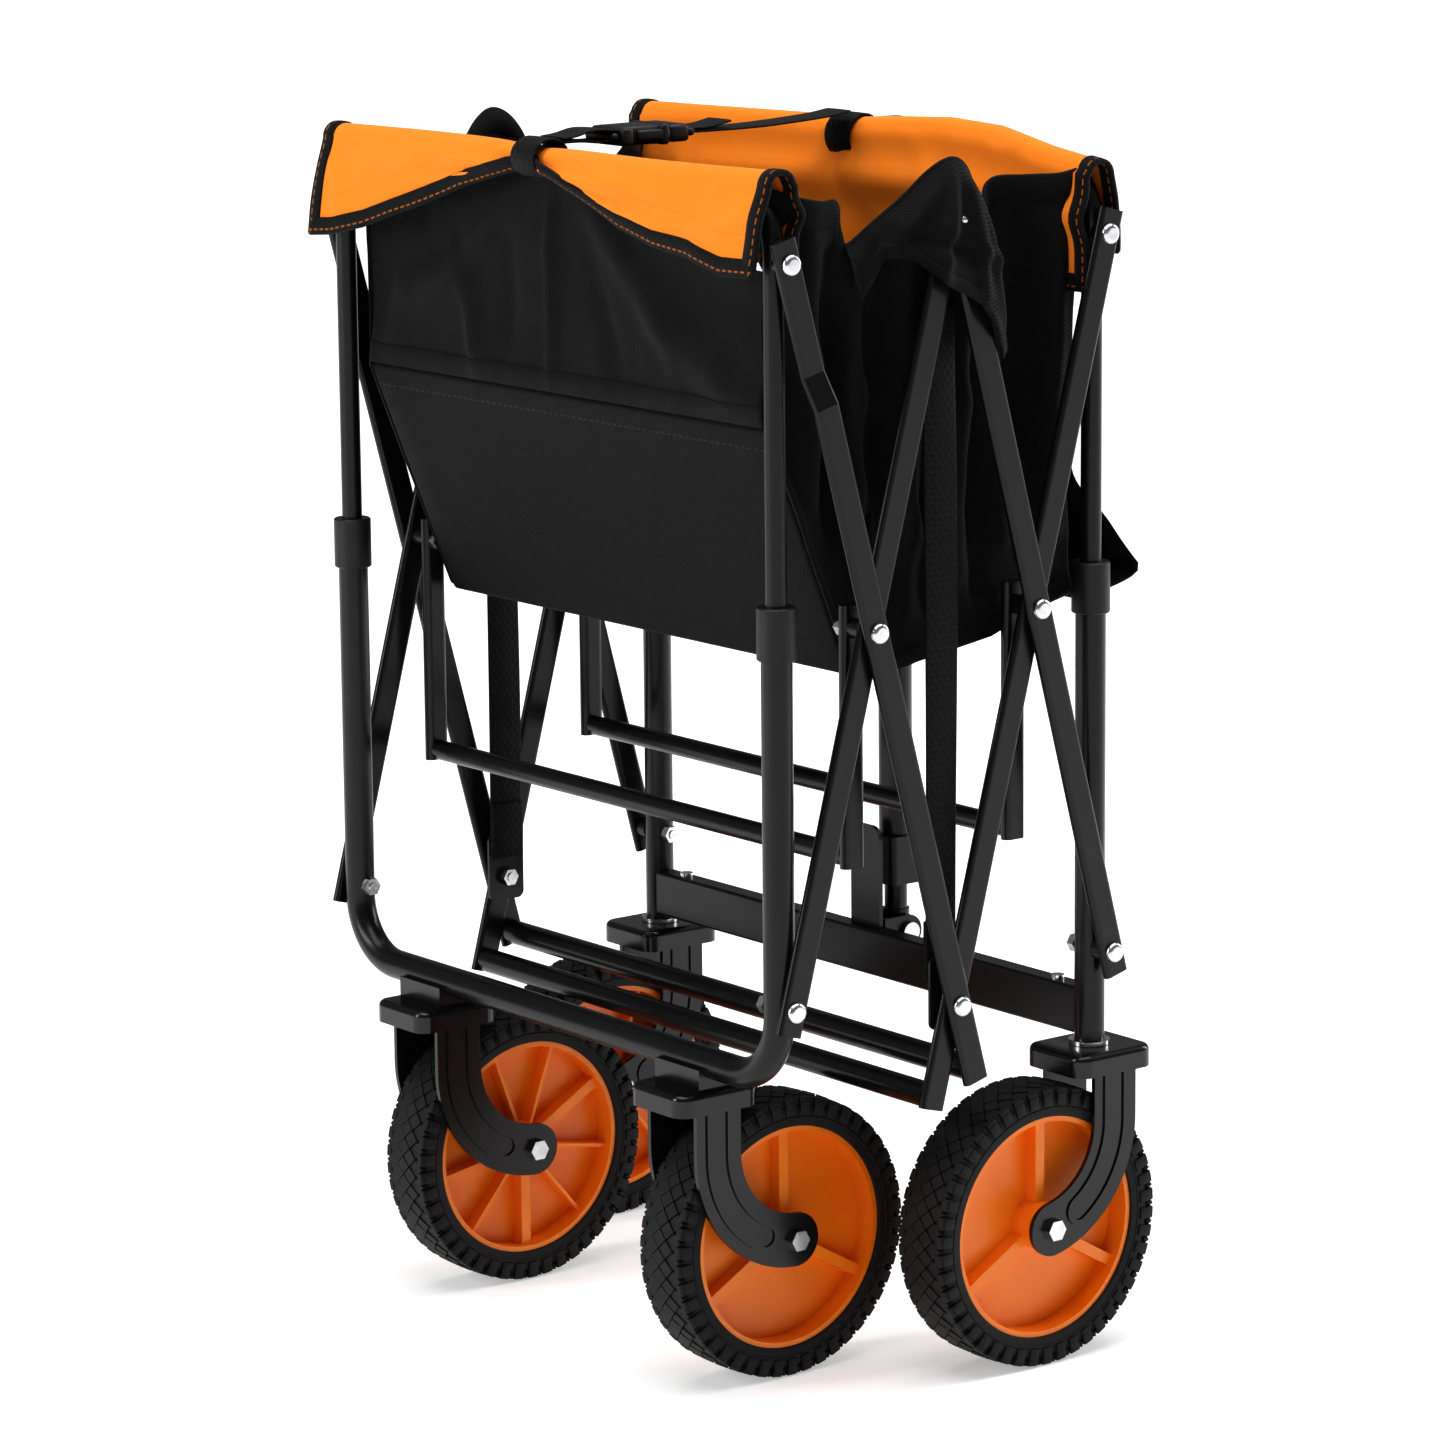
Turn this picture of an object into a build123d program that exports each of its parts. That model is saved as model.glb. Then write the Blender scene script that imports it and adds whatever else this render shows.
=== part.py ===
from build123d import *
from math import asin, cos, radians, sin
import os

# Folding utility wagon with a pull handle, modelled folded and standing on its four wheels.
# +X is forward (the handle end), +Y is left, +Z is up. X = 0 is midway between the two end frames.

# ---- driving dimensions, mm ----
wheel_radius = 89.0
wheel_width = 40.0
rim_radius = 70.4
hub_radius = 15.0
axle_radius = 4.0
rim_inset = 6.0              # rim barrel narrower than the wheel by this much
rim_wall = 3.4
rim_web = 4.0
rib_foot_gap = 3.0           # a rib stops this far inside the rim's outer face
rib_inset = 8.0              # rib edges below the wheel's side face
thick_rib = 7.0
thick_ribs = 3
thin_rib = 2.2
thin_ribs = 9
tyre_bead_corner = 4.0
tyre_shoulder = 18.0
tyre_shoulder_corner = 7.0
axle_head_r = 7.0
axle_head_h = 4.5

pivot_low_z = 257.1          # lower pivot of each end frame
arm_end = 230.7              # folding bar, end pivot to crossing
arm_centre = 245.7           # folding bar, crossing to centre pivot
span_folded = 247.0          # end frame to end frame, folded
frame_half_y = 220.4         # end-frame tube centre from the middle

lower_tube_r = 9.5
lower_tube_bore_r = 8.0
upper_tube_r = 6.5
upper_tube_bore_r = 5.0
rear_rail_z = 210.0
rear_bend_r = 41.0
lower_tube_top_z = 490.0
front_tube_foot_z = 198.0
upper_tube_foot_z = 445.0
top_rail_rise = 42.2         # top rail above the upper pivot
top_bend_r = 36.0
sleeve_radius = 12.0
sleeve_length = 32.0
sleeve_lip = 10.0            # part of the sleeve above the lower tube
sleeve_chamfer = 0.8
lower_boss_r = 7.0
upper_boss_r = 6.0
boss_sink = 0.5              # a boss starts this far inside its tube's wall
boss_gap = 0.1               # from a boss to the bar beside it

bar_width = 18.0
bar_thick = 6.0
bar_gap = 0.5                # washer gap between neighbouring bars
bar_overhang = 15.0
washer_gap = 0.6             # lower tube to the inner bars
joggle_start = 68.0
joggle_end = 88.0
cross_tube_r = 8.0
cross_a_reach = 43.0         # cross tube beyond the bottom centre pivot
cross_d_reach = 58.0

bolt_r = 3.0
dome_r = 6.5
dome_h = 3.5
dome_round = 0.85
nut_r = 6.0
nut_h = 5.5

crossbar_height = 30.0
crossbar_depth = 15.0
crossbar_z = 201.0
crossbar_edge = 2.0
crossbar_screw_inset = 30.0
crossbar_screw_r = 4.5
crossbar_screw_h = 2.5
bracket_thick = 3.0          # handle bracket plate standing on the crossbar
bracket_setback = 4.0
bracket_half_y = 14.5
bracket_top_z = 298.0
bracket_corner = 9.0
ear_inner_y = 9.6            # handle pivot ears
ear_thick = 3.5
ear_r = 11.0

support_drop = 140.0         # crossing pivot to support cross tube
support_tube_r = 6.5
support_leg_width = 16.0
support_leg_thick = 8.0
support_leg_y = 216.0        # middle of the leg
support_leg_top = 14.0
support_boss_r = 6.0
support_boss_gap = 0.2

rear_wheel_x = -63.5
rear_wheel_y = 136.0
caster_trail = 51.2
fork_top_z = 195.0
fork_cap_x = 62.0
fork_cap_h = 14.0
fork_sheet = 3.0
fork_arm_width = 34.0
fork_arm_straight = 40.0
fork_cap_corner = 10.0
fork_cap_edge = 4.0
saddle_half_x = 13.0
saddle_half_y = 22.0
saddle_sink = 2.0            # saddle rises this far short of the rail's middle
stem_r = 5.0
bearing_r = 13.0
bearing_depth = 26.0
bearing_gap = 0.3
wheel_side_gap = 1.5
ridge_height = 1.2
ridge_width = 19.0
ridge_line = 3.5
ridge_share = 0.74           # how far along the curved arm the pressed groove runs

handle_x = 150.0
knuckle_r = 10.0
knuckle_play = 0.5
neck_r = 9.0
neck_height = 14.0
handle_pivot_z = 225.0
handle_inner_r = 7.5
handle_outer_r = 11.0
handle_outer_bore_r = 9.5
handle_inner_top = 690.0
collar_z = 257.0
collar_height = 32.0
collar_width = 27.0
collar_corner = 4.0
handle_tube_top = 690.0
grip_top_z = 757.0
grip_half_y = 52.0
grip_half_z = 38.0
grip_bar = 17.0
grip_depth = 20.0
grip_socket_wall = 3.0
grip_socket_depth = 30.0
grip_edge = 5.0

flap_half_depth = 9.5
flap_cloth = 1.5
flap_half_y = 229.0
flap_notch_y = 203.0         # beyond this the cloth is cut away round the upper pivots
flap_notch_z = 12.0          # bottom of the cut cloth above the upper pivot
flap_hang = 64.0
flap_top_gap = 2.5
flap_corner_gap = 2.0

board_thick = 6.0
board_half_y = 197.0
board_open_z = 260.0         # middle of the boards when the wagon is open
board_end_inset = 8.5        # outer board edges inside the end frames, wagon open
board_end_length = 164.1
board_gap = 0.5              # from a board's edge to its fabric hinge line
board_back_gap = 3.0         # hinge line below the boards at the middle fold
fold_open_deg = 40.0
front_board_tilt = 12.66
mid_front_tilt = 98.84
mid_rear_tilt = 82.0
rear_board_tilt = 68.0
front_board_edge = (126.0, 482.0)
hem_thick = 3.0
hem_height = 15.0
hem_gap = 0.8
hem_rise = 12.0

wall_thick = 3.0
wall_y = 198.0
wall_top_z = 736.0
wall_slack_x = 4.0           # cloth outside the floor's rear hinge
wall_slack_z = 6.0           # cloth below the floor's hinges
wall_foot_drop = 8.0
end_wall_inset = 4.0
cloth_gap = 0.5
cover_half_x = 30.0          # pivot cover sewn along the top of a side wall
cover_rise = 2.5
tab_inset = 15.5             # corner tab, back from the front frame's middle
tab_width = 3.0
tab_gap = 0.4
tab_thick = 2.5
tab_low_z = 560.0
tab_high_z = 640.0

webbing_thick = 1.6
webbing_width = 25.0
side_strap_y = 225.5
side_strap_top_z = 671.0
side_strap_back = -14.0
side_strap_front = 10.0
side_strap_foot = 14.0       # strap end above the bottom centre pivot
strap_plate_half_x = 14.0
strap_plate_above = 30.0
strap_plate_below = 16.0
strap_plate_corner = 5.0
strap_plate_thick = 2.0
top_strap_y = 8.0
top_strap_z = 758.0
strap_root_x = 110.0
buckle_x = -72.0
buckle_length = 36.0
buckle_width = 34.0
buckle_height = 12.0
plug_head = 16.0
prong_length = 24.0
plug_clearance = 0.4
prong_width = 6.0
prong_end_gap = 2.0
buckle_edge = 3.0
buckle_side_wall = 3.0
buckle_top_wall = 2.0

running = 0.05               # radial clearance of every running fit
open_pivot_play = 0.3        # radial play at the top centre pivots
thin_wall = 1.5              # wall of the cross tubes and the inner handle tube
overlap = 1.0                # joined solids run this far into each other
past = 20.0                  # cutters run this far past what they cut

# ---- derived places ----
arm = arm_end + arm_centre
half_span = span_folded / 2
tilt = asin(half_span / arm)
pivot_rise = 2 * arm_end * cos(tilt)
pivot_high_z = pivot_low_z + pivot_rise
cross_x = half_span - arm_end * sin(tilt)
cross_z = pivot_low_z + arm_end * cos(tilt)
centre_low_z = pivot_low_z - (arm_centre - arm_end) * cos(tilt)
centre_high_z = pivot_low_z + arm * cos(tilt)
top_rail_z = pivot_high_z + top_rail_rise
inner_bar_y = frame_half_y + lower_tube_r + washer_gap + bar_thick / 2
outer_bar_y = inner_bar_y + bar_thick + bar_gap
bar_outer_face = outer_bar_y + bar_thick / 2
bar_inner_face = inner_bar_y - bar_thick / 2
front_reach = handle_x + handle_outer_r + grip_socket_wall
rear_reach = half_span + fork_cap_x / 2
origin_shift = (rear_reach - front_reach) / 2   # puts the origin under the middle of the overall length


# ---- small builders ----
def save(node, shape):
    """Writes one node; a list becomes a group of separate solids."""
    solids = shape if isinstance(shape, list) else [shape]
    placed = [Pos(origin_shift, 0, 0) * s for s in solids]
    export_step(Compound(children=placed), "parts/" + node + ".step")


def both(solid):
    """The solid and its mirror image on the other side of the wagon."""
    return [solid, mirror(solid, Plane.XZ)]


def rod_y(x, z, y0, y1, radius):
    """Cylinder along Y from y0 to y1."""
    return Pos(x, (y0 + y1) / 2, z) * Rot(90, 0, 0) * Cylinder(radius, abs(y1 - y0))


def rod_z(x, y, z0, z1, radius):
    """Cylinder along Z from z0 to z1."""
    return Pos(x, y, (z0 + z1) / 2) * Cylinder(radius, z1 - z0)


def block(x0, x1, y0, y1, z0, z1):
    """Box between two corners."""
    return Pos((x0 + x1) / 2, (y0 + y1) / 2, (z0 + z1) / 2) * Box(x1 - x0, y1 - y0, z1 - z0)


def tube(points, bend, outer, bore):
    """Round tube along a bent path."""
    path = FilletPolyline(*points, radius=bend) if bend else Polyline(*points)
    ring = Circle(outer) - Circle(bore)
    return sweep(Plane(path @ 0, z_dir=path % 0) * ring, path=path)


def bolt(x, z, nut_face, head_face, radius=bolt_r):
    """Dome-headed bolt along Y with a hex nut at its inner end, on the left side."""
    shank = rod_y(x, z, nut_face - nut_h - overlap, head_face + overlap, radius)
    head = rod_y(x, z, head_face, head_face + dome_h, dome_r)
    rim = head.edges().filter_by(GeomType.CIRCLE).sort_by(Axis.Y)[-1]
    head = fillet(rim, dome_h * dome_round)
    nut = Pos(x, nut_face, z) * Rot(90, 0, 0) * extrude(RegularPolygon(nut_r, 6), nut_h)
    return shank + head + nut


def bar_point(start, lean, s, y):
    """Point on a bar at distance s from its end pivot; lean is its direction in XZ."""
    return (start[0] + lean[0] * s, y, start[1] + lean[1] * s)


def folding_bar(start, lean, stations, length_past, holes):
    """Flat-oval bar on the left side through (s, y) stations, drilled at (s, radius) holes."""
    pts = [bar_point(start, lean, -bar_overhang, stations[0][1])]
    pts += [bar_point(start, lean, s, y) for s, y in stations]
    pts += [bar_point(start, lean, arm + length_past, stations[-1][1])]
    path = Polyline(*pts)
    oval = SlotOverall(bar_width, bar_thick)
    across = Vector(-lean[1], 0, lean[0])
    section = Plane(path @ 0, x_dir=across, z_dir=path % 0) * oval
    bar = sweep(section, path=path, transition=Transition.RIGHT)
    for s, radius in holes:
        x, y, z = bar_point(start, lean, s, inner_bar_y)
        bar -= rod_y(x, z, inner_bar_y - past, outer_bar_y + past, radius)
    return bar


# ---- end frames ----
def lower_tube_holes(x):
    """Cross-drilled pivot holes of a lower end frame."""
    return both(rod_y(x, pivot_low_z, frame_half_y - past, frame_half_y + past, bolt_r))


def drilled(solid, tools):
    for tool in tools:
        solid -= tool
    return solid


def rear_lower_tube():
    """U-shaped tube: two uprights and the bottom rail."""
    x = -half_span
    y = frame_half_y
    top = lower_tube_top_z
    route = [(x, -y, top), (x, -y, rear_rail_z), (x, y, rear_rail_z), (x, y, top)]
    return drilled(tube(route, rear_bend_r, lower_tube_r, lower_tube_bore_r), lower_tube_holes(x))


def front_lower_tubes():
    """Two uprights with welded spacer bosses for the outer bars."""
    y = frame_half_y
    route = [(half_span, y, front_tube_foot_z), (half_span, y, lower_tube_top_z)]
    upright = tube(route, 0, lower_tube_r, lower_tube_bore_r)
    boss_root = y + lower_tube_bore_r + boss_sink
    boss_face = bar_outer_face - bar_thick - bar_gap / 2
    boss = rod_y(half_span, pivot_low_z, boss_root, boss_face, lower_boss_r)
    upright = upright + boss - rod_y(half_span, pivot_low_z, y - past, bar_outer_face, bolt_r)
    return both(upright)


def sleeves(x):
    """Black plastic guide sleeves on top of the lower uprights."""
    top = lower_tube_top_z + sleeve_lip
    body = rod_z(x, frame_half_y, top - sleeve_length, top, sleeve_radius)
    body = chamfer(body.edges().filter_by(GeomType.CIRCLE), sleeve_chamfer)
    body -= rod_z(x, frame_half_y, top - sleeve_length, lower_tube_top_z, lower_tube_r)
    body -= rod_z(x, frame_half_y, lower_tube_top_z, top, upper_tube_r + running)
    return both(body)


def upper_tube(x):
    """Inverted U: it slides in the lower uprights and carries the top rail."""
    y = frame_half_y
    foot = upper_tube_foot_z
    route = [(x, -y, foot), (x, -y, top_rail_z), (x, y, top_rail_z), (x, y, foot)]
    frame = tube(route, top_bend_r, upper_tube_r, upper_tube_bore_r)
    for side in (1, -1):
        boss_root = side * (y + upper_tube_bore_r + boss_sink)
        boss_face = side * (bar_inner_face - boss_gap)
        frame += rod_y(x, pivot_high_z, boss_root, boss_face, upper_boss_r)
        frame -= rod_y(x, pivot_high_z, side * (y - past), side * bar_outer_face, bolt_r)
    return frame


def crossbar():
    """Box-section bar between the front uprights with the two ears of the handle pivot."""
    reach = frame_half_y
    back = half_span - crossbar_depth / 2
    front = half_span + crossbar_depth / 2
    bar = block(back, front, -reach, reach, crossbar_z, crossbar_z + crossbar_height)
    bar = fillet(bar.edges().filter_by(Axis.Y), crossbar_edge)
    top = crossbar_z + crossbar_height
    for side in (1, -1):
        bar -= rod_z(half_span, side * frame_half_y, crossbar_z - past, top + past, lower_tube_r)
    for side in (1, -1):
        y0, y1 = sorted((side * ear_inner_y, side * (ear_inner_y + ear_thick)))
        ear = block(front - overlap, handle_x, y0, y1, handle_pivot_z - ear_r, handle_pivot_z + ear_r)
        ear += rod_y(handle_x, handle_pivot_z, y0, y1, ear_r)
        bar += ear - rod_y(handle_x, handle_pivot_z, y0, y1, bolt_r)
    plate_x = half_span + crossbar_depth / 2 - bracket_setback
    plate = block(plate_x - bracket_thick, plate_x, -bracket_half_y, bracket_half_y,
                  top - overlap, bracket_top_z)
    plate = fillet(plate.edges().filter_by(Axis.X).sort_by(Axis.Z)[-2:], bracket_corner)
    return bar + plate


# ---- wheels and forks ----
def wheel_rim(side):
    """Plastic wheel centre about the Y axis; its thin ribs face the middle of the wagon."""
    barrel = wheel_width - rim_inset
    ring = Cylinder(rim_radius, barrel) - Cylinder(rim_radius - rim_wall, barrel)
    body = ring + Cylinder(rim_radius - rim_wall / 2, rim_web)
    body += Cylinder(hub_radius, wheel_width - 2 * overlap)
    rib_length = rim_radius - rib_foot_gap
    depth = wheel_width / 2 - rib_inset
    ribs = ((1, thick_ribs, thick_rib), (-1, thick_ribs, thick_rib), (-1, thin_ribs, thin_rib))
    for face, count, width in ribs:
        for turn in range(count):
            rib = Pos(rib_length / 2, 0, face * depth / 2) * Box(rib_length, width, depth)
            body += Rot(0, 0, 90 + turn * 360 / count) * rib
    body -= Cylinder(axle_radius + running, wheel_width)
    return Rot(-90 * side, 0, 0) * body


def tyre():
    """Solid rubber tyre about the Y axis, with rounded shoulders."""
    depth = wheel_radius - rim_radius
    bead = RectangleRounded(depth, wheel_width - 2 * overlap, tyre_bead_corner)
    tread = RectangleRounded(tyre_shoulder, wheel_width, tyre_shoulder_corner)
    profile = Pos(rim_radius + depth / 2, 0) * bead + Pos(wheel_radius - tyre_shoulder / 2, 0) * tread
    ring = revolve(Plane.XZ * profile, Axis.Z)
    return Rot(90, 0, 0) * (ring - Cylinder(rim_radius, 2 * wheel_width))


def groove(straight, curve, width):
    """Outline of the pressed groove that runs down a fork arm and stops before the axle."""
    bent = curve.trim(0, ridge_share)
    end = bent @ 1
    return trace(straight, width) + trace(bent, width) + Pos(end.X, end.Y) * Circle(width / 2)


def fork(trail):
    """Stamped fork about its own stem axis, top face at z = 0, wheel trailing along X by trail."""
    drop = fork_top_z - wheel_radius
    side_y = wheel_width / 2 + wheel_side_gap
    cap_half = side_y + 2 * fork_sheet
    cap = Pos(0, 0, -fork_cap_h / 2) * Box(fork_cap_x, 2 * cap_half, fork_cap_h)
    cap = fillet(cap.edges().filter_by(Axis.Z), fork_cap_corner)
    cap = fillet(cap.faces().sort_by(Axis.Z)[-1].edges(), fork_cap_edge)
    hollow = Pos(0, 0, -fork_cap_h / 2 - fork_sheet) * Box(
        fork_cap_x - 2 * fork_sheet, 2 * (side_y + fork_sheet), fork_cap_h)
    cap -= hollow
    start = (0, -fork_sheet)
    knee = (0, -fork_sheet - fork_arm_straight)
    axle = (trail, -drop)
    straight = Line(start, knee)
    curve = TangentArc(knee, axle, tangent=(0, -1))
    outline = trace(straight, fork_arm_width) + trace(curve, fork_arm_width)
    outline += Pos(*axle) * Circle(fork_arm_width / 2)
    outline -= Pos(*axle) * Circle(axle_radius)
    inner_width = ridge_width - 2 * ridge_line
    ridge = groove(straight, curve, ridge_width) - groove(straight, curve, inner_width)
    body = cap
    for side in (1, -1):
        plane = Plane(origin=(0, side * side_y, 0), x_dir=(1, 0, 0), z_dir=(0, -1, 0))
        body += extrude(plane * outline, -side * fork_sheet)
        ridge_root = side * (side_y + fork_sheet - boss_sink)
        outer = Plane(origin=(0, ridge_root, 0), x_dir=(1, 0, 0), z_dir=(0, -1, 0))
        ribs = extrude(outer * ridge, -side * (ridge_height + boss_sink))
        ribs -= Pos(0, 0, -fork_cap_h / 2) * Box(fork_cap_x, 2 * cap_half, fork_cap_h)
        body += ribs
    return body


def axle_bolt(x, y, z):
    """Hex-headed axle through a fork and its wheel."""
    reach = wheel_width / 2 + wheel_side_gap + fork_sheet
    end = reach + axle_head_h - boss_sink
    shank = rod_y(x, z, y - end, y + end, axle_radius)
    for side in (1, -1):
        hexagon = extrude(RegularPolygon(axle_head_r, 6), axle_head_h)
        shank += Pos(x, y + side * reach, z) * Rot(-90 * side, 0, 0) * hexagon
    return shank


# ---- handle ----
def handle_lower():
    """Foot knuckle and the inner telescopic tube."""
    half = ear_inner_y - knuckle_play
    neck_top = handle_pivot_z + neck_height
    foot = rod_y(handle_x, handle_pivot_z, -half, half, knuckle_r)
    foot += rod_z(handle_x, 0, handle_pivot_z, neck_top, neck_r)
    foot -= rod_y(handle_x, handle_pivot_z, -past, past, bolt_r + running)
    pole = rod_z(handle_x, 0, neck_top - overlap, handle_inner_top, handle_inner_r)
    pole -= rod_z(handle_x, 0, neck_top + overlap, handle_inner_top, handle_inner_r - thin_wall)
    return foot + pole


def handle_collar():
    """Square plastic collar that runs on the inner tube."""
    half = collar_width / 2
    z1 = collar_z + collar_height
    body = block(handle_x - half, handle_x + half, -half, half, collar_z, z1)
    body = fillet(body.edges().filter_by(Axis.Z), collar_corner)
    body -= rod_z(handle_x, 0, collar_z, z1, handle_inner_r + running)
    return body


def handle_outer_tube():
    tube_z = collar_z + collar_height
    body = rod_z(handle_x, 0, tube_z, handle_tube_top, handle_outer_r)
    return body - rod_z(handle_x, 0, tube_z, handle_tube_top, handle_outer_bore_r)


def handle_grip():
    """Oval loop grip with a socket on the outer tube."""
    middle = grip_top_z - grip_half_z
    ring = Ellipse(grip_half_y, grip_half_z) - Ellipse(grip_half_y - grip_bar, grip_half_z - grip_bar)
    plane = Plane(origin=(handle_x - grip_depth / 2, 0, middle), x_dir=(0, 1, 0), z_dir=(1, 0, 0))
    loop = extrude(plane * ring, grip_depth)
    loop = fillet(loop.edges(), grip_edge)
    foot = handle_tube_top - grip_socket_depth
    socket_top = middle - grip_half_z + grip_bar - grip_socket_wall
    socket = rod_z(handle_x, 0, foot, socket_top, handle_outer_r + grip_socket_wall)
    body = loop + socket
    return body - rod_z(handle_x, 0, foot - overlap, handle_tube_top, handle_outer_r)


# ---- fabric ----
def flap(x):
    """Orange cloth folded over a top rail, hanging on both sides."""
    top = top_rail_z + upper_tube_r + flap_top_gap + flap_cloth
    low = top - flap_hang
    corner = top_bend_r + upper_tube_r + flap_corner_gap
    x0 = x - flap_half_depth - past
    x1 = x + flap_half_depth + past
    reach = flap_half_y + past

    def outline(shrink):
        height = top - shrink - low + past
        shape = Pos(0, top - shrink - height / 2) * Rectangle(2 * (flap_half_y - shrink), height)
        return fillet(shape.vertices().sort_by(Axis.Y)[-2:], corner)

    def slab(shrink, half_depth):
        plane = Plane(origin=(x - half_depth, 0, 0), x_dir=(0, 1, 0), z_dir=(1, 0, 0))
        return extrude(plane * outline(shrink), 2 * half_depth)

    cloth = slab(0, flap_half_depth) - slab(flap_cloth, flap_half_depth - flap_cloth)
    cloth = cloth & block(x0, x1, -reach, reach, low, top + past)
    notch = block(x0, x1, flap_notch_y, reach, low - past, pivot_high_z + flap_notch_z)
    return drilled(cloth, both(notch))


def spin(point, centre, angle):
    """Point turned about centre in the XZ plane; angle in degrees from +X towards +Z."""
    a = radians(angle)
    dx, dz = point[0] - centre[0], point[1] - centre[1]
    return (centre[0] + dx * cos(a) - dz * sin(a), centre[1] + dx * sin(a) + dz * cos(a))


def carry(point, hinge_open, hinge_folded, angle):
    """Where a point of an open board goes when the board folds by angle about its hinge."""
    x, z = spin(point, hinge_open, angle)
    return (x + hinge_folded[0] - hinge_open[0], z + hinge_folded[1] - hinge_open[1])


half_open = arm * sin(tilt + radians(fold_open_deg))
board_end_x = half_open - board_end_inset
hinge_x = board_end_x - board_end_length
board_top = board_open_z + board_thick / 2
board_under = board_open_z - board_thick / 2
open_edge_front = (board_end_x, board_open_z)
open_hinge_front = (hinge_x, board_top)
open_hinge_mid = (0.0, board_under - board_back_gap)
open_hinge_rear = (-hinge_x, board_top)
open_edge_rear = (-board_end_x, board_open_z)

hinge_front = carry(open_hinge_front, open_edge_front, front_board_edge, front_board_tilt)
hinge_mid = carry(open_hinge_mid, open_hinge_front, hinge_front, -mid_front_tilt)
hinge_rear = carry(open_hinge_rear, open_hinge_mid, hinge_mid, mid_rear_tilt)
rear_board_edge = carry(open_edge_rear, open_hinge_rear, hinge_rear, -rear_board_tilt)


def board(x0, x1, hinge_open, hinge_folded, angle):
    """Stiffened floor panel, laid out open from x0 to x1 and then folded about its hinge."""
    corners = [carry(p, hinge_open, hinge_folded, angle)
               for p in ((x0, board_under), (x1, board_under), (x1, board_top), (x0, board_top))]
    plane = Plane(origin=(0, board_half_y, 0), x_dir=(1, 0, 0), z_dir=(0, -1, 0))
    return extrude(plane * Polygon(*corners, align=None), 2 * board_half_y)


def side_wall():
    """Gathered cloth side of the bag on the left, following the folded floor."""
    x1 = half_span - flap_half_depth - cloth_gap
    x0 = -x1
    low = [(x0, rear_board_edge[1]), (hinge_rear[0] - wall_slack_x, hinge_rear[1] - wall_slack_z)]
    low += [(hinge_front[0], hinge_front[1] - wall_slack_z), (x1, front_board_edge[1] - wall_foot_drop)]
    outline = low + [(x1, wall_top_z), (x0, wall_top_z)]
    plane = Plane(origin=(0, wall_y, 0), x_dir=(1, 0, 0), z_dir=(0, -1, 0))
    panel = extrude(plane * Polygon(*outline, align=None), -wall_thick)
    cover_top = wall_top_z + cover_rise
    return panel + block(-cover_half_x, cover_half_x, wall_y, inner_bar_y, wall_top_z, cover_top)


def end_wall(x, foot):
    """Cloth end wall hanging from a top rail, inside the flap."""
    edge = half_span - end_wall_inset
    x0, x1 = sorted((x * edge, x * (edge - wall_thick)))
    return block(x0, x1, -board_half_y, board_half_y, foot, wall_top_z)


# ---- write the nodes ----
os.makedirs("parts", exist_ok=True)

# rear lower frame
save("rear_lower_tube", rear_lower_tube())
save("rear_sleeves", sleeves(-half_span))
rear_fork = Pos(-half_span, rear_wheel_y, fork_top_z) * fork(rear_wheel_x + half_span)
saddle_low = fork_top_z - overlap
saddle_top = rear_rail_z - saddle_sink
saddle = block(-saddle_half_x, saddle_half_x, -saddle_half_y, saddle_half_y, saddle_low, saddle_top)
saddle = Pos(-half_span, rear_wheel_y, 0) * saddle
saddle -= rod_y(-half_span, rear_rail_z, rear_wheel_y - saddle_half_y - past, frame_half_y, lower_tube_r)
save("rear_forks", both(rear_fork + saddle))
lower_nut_face = frame_half_y - lower_tube_r
rear_pivot = bolt(-half_span, pivot_low_z, lower_nut_face, bar_inner_face + bar_thick)
save("rear_frame_bolts", both(rear_pivot) + both(axle_bolt(rear_wheel_x, rear_wheel_y, wheel_radius)))

# folding bars: A from rear top to centre bottom, B from rear bottom to centre top,
# C and D mirror them at the front
low_rear = (-half_span, pivot_low_z)
high_rear = (-half_span, pivot_high_z)
low_front = (half_span, pivot_low_z)
high_front = (half_span, pivot_high_z)
run = bolt_r + running
lean_up = (sin(tilt), cos(tilt))
lean_down = (sin(tilt), -cos(tilt))
inner = [(0, inner_bar_y)]
outer = [(0, outer_bar_y)]
jogged = [(joggle_start, inner_bar_y), (joggle_end, outer_bar_y)]
past_a = cross_a_reach + cross_tube_r
past_d = cross_d_reach + cross_tube_r
holes_b = [(0, run), (arm_end, run), (arm, bolt_r + open_pivot_play)]
holes_c = [(0, run), (arm_end, run), (arm, bolt_r)]
holes_d = [(0, run), (arm_end, bolt_r), (arm, run)]
bar_b = folding_bar(low_rear, lean_up, inner, bar_overhang, holes_b)
bar_a = folding_bar(high_rear, lean_down, jogged, past_a, [(0, run), (arm_end, bolt_r), (arm, bolt_r)])
bar_c = folding_bar(low_front, (-lean_up[0], lean_up[1]), outer, bar_overhang, holes_c)
bar_d = folding_bar(high_front, (-lean_down[0], lean_down[1]), inner, past_d, holes_d)
for name, bar in (("a", bar_a), ("b", bar_b), ("c", bar_c), ("d", bar_d)):
    save("link_" + name + "_bars", both(bar))

cross_a = (cross_a_reach * sin(tilt), centre_low_z - cross_a_reach * cos(tilt))
cross_d = (-cross_d_reach * sin(tilt), centre_low_z - cross_d_reach * cos(tilt))
reach_a = outer_bar_y - bar_thick / 2
reach_d = bar_inner_face
for name, (x, z), reach in (("a", cross_a, reach_a), ("d", cross_d, reach_d)):
    bore = rod_y(x, z, -reach, reach, cross_tube_r - thin_wall)
    save("link_" + name + "_cross", rod_y(x, z, -reach, reach, cross_tube_r) - bore)

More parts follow.
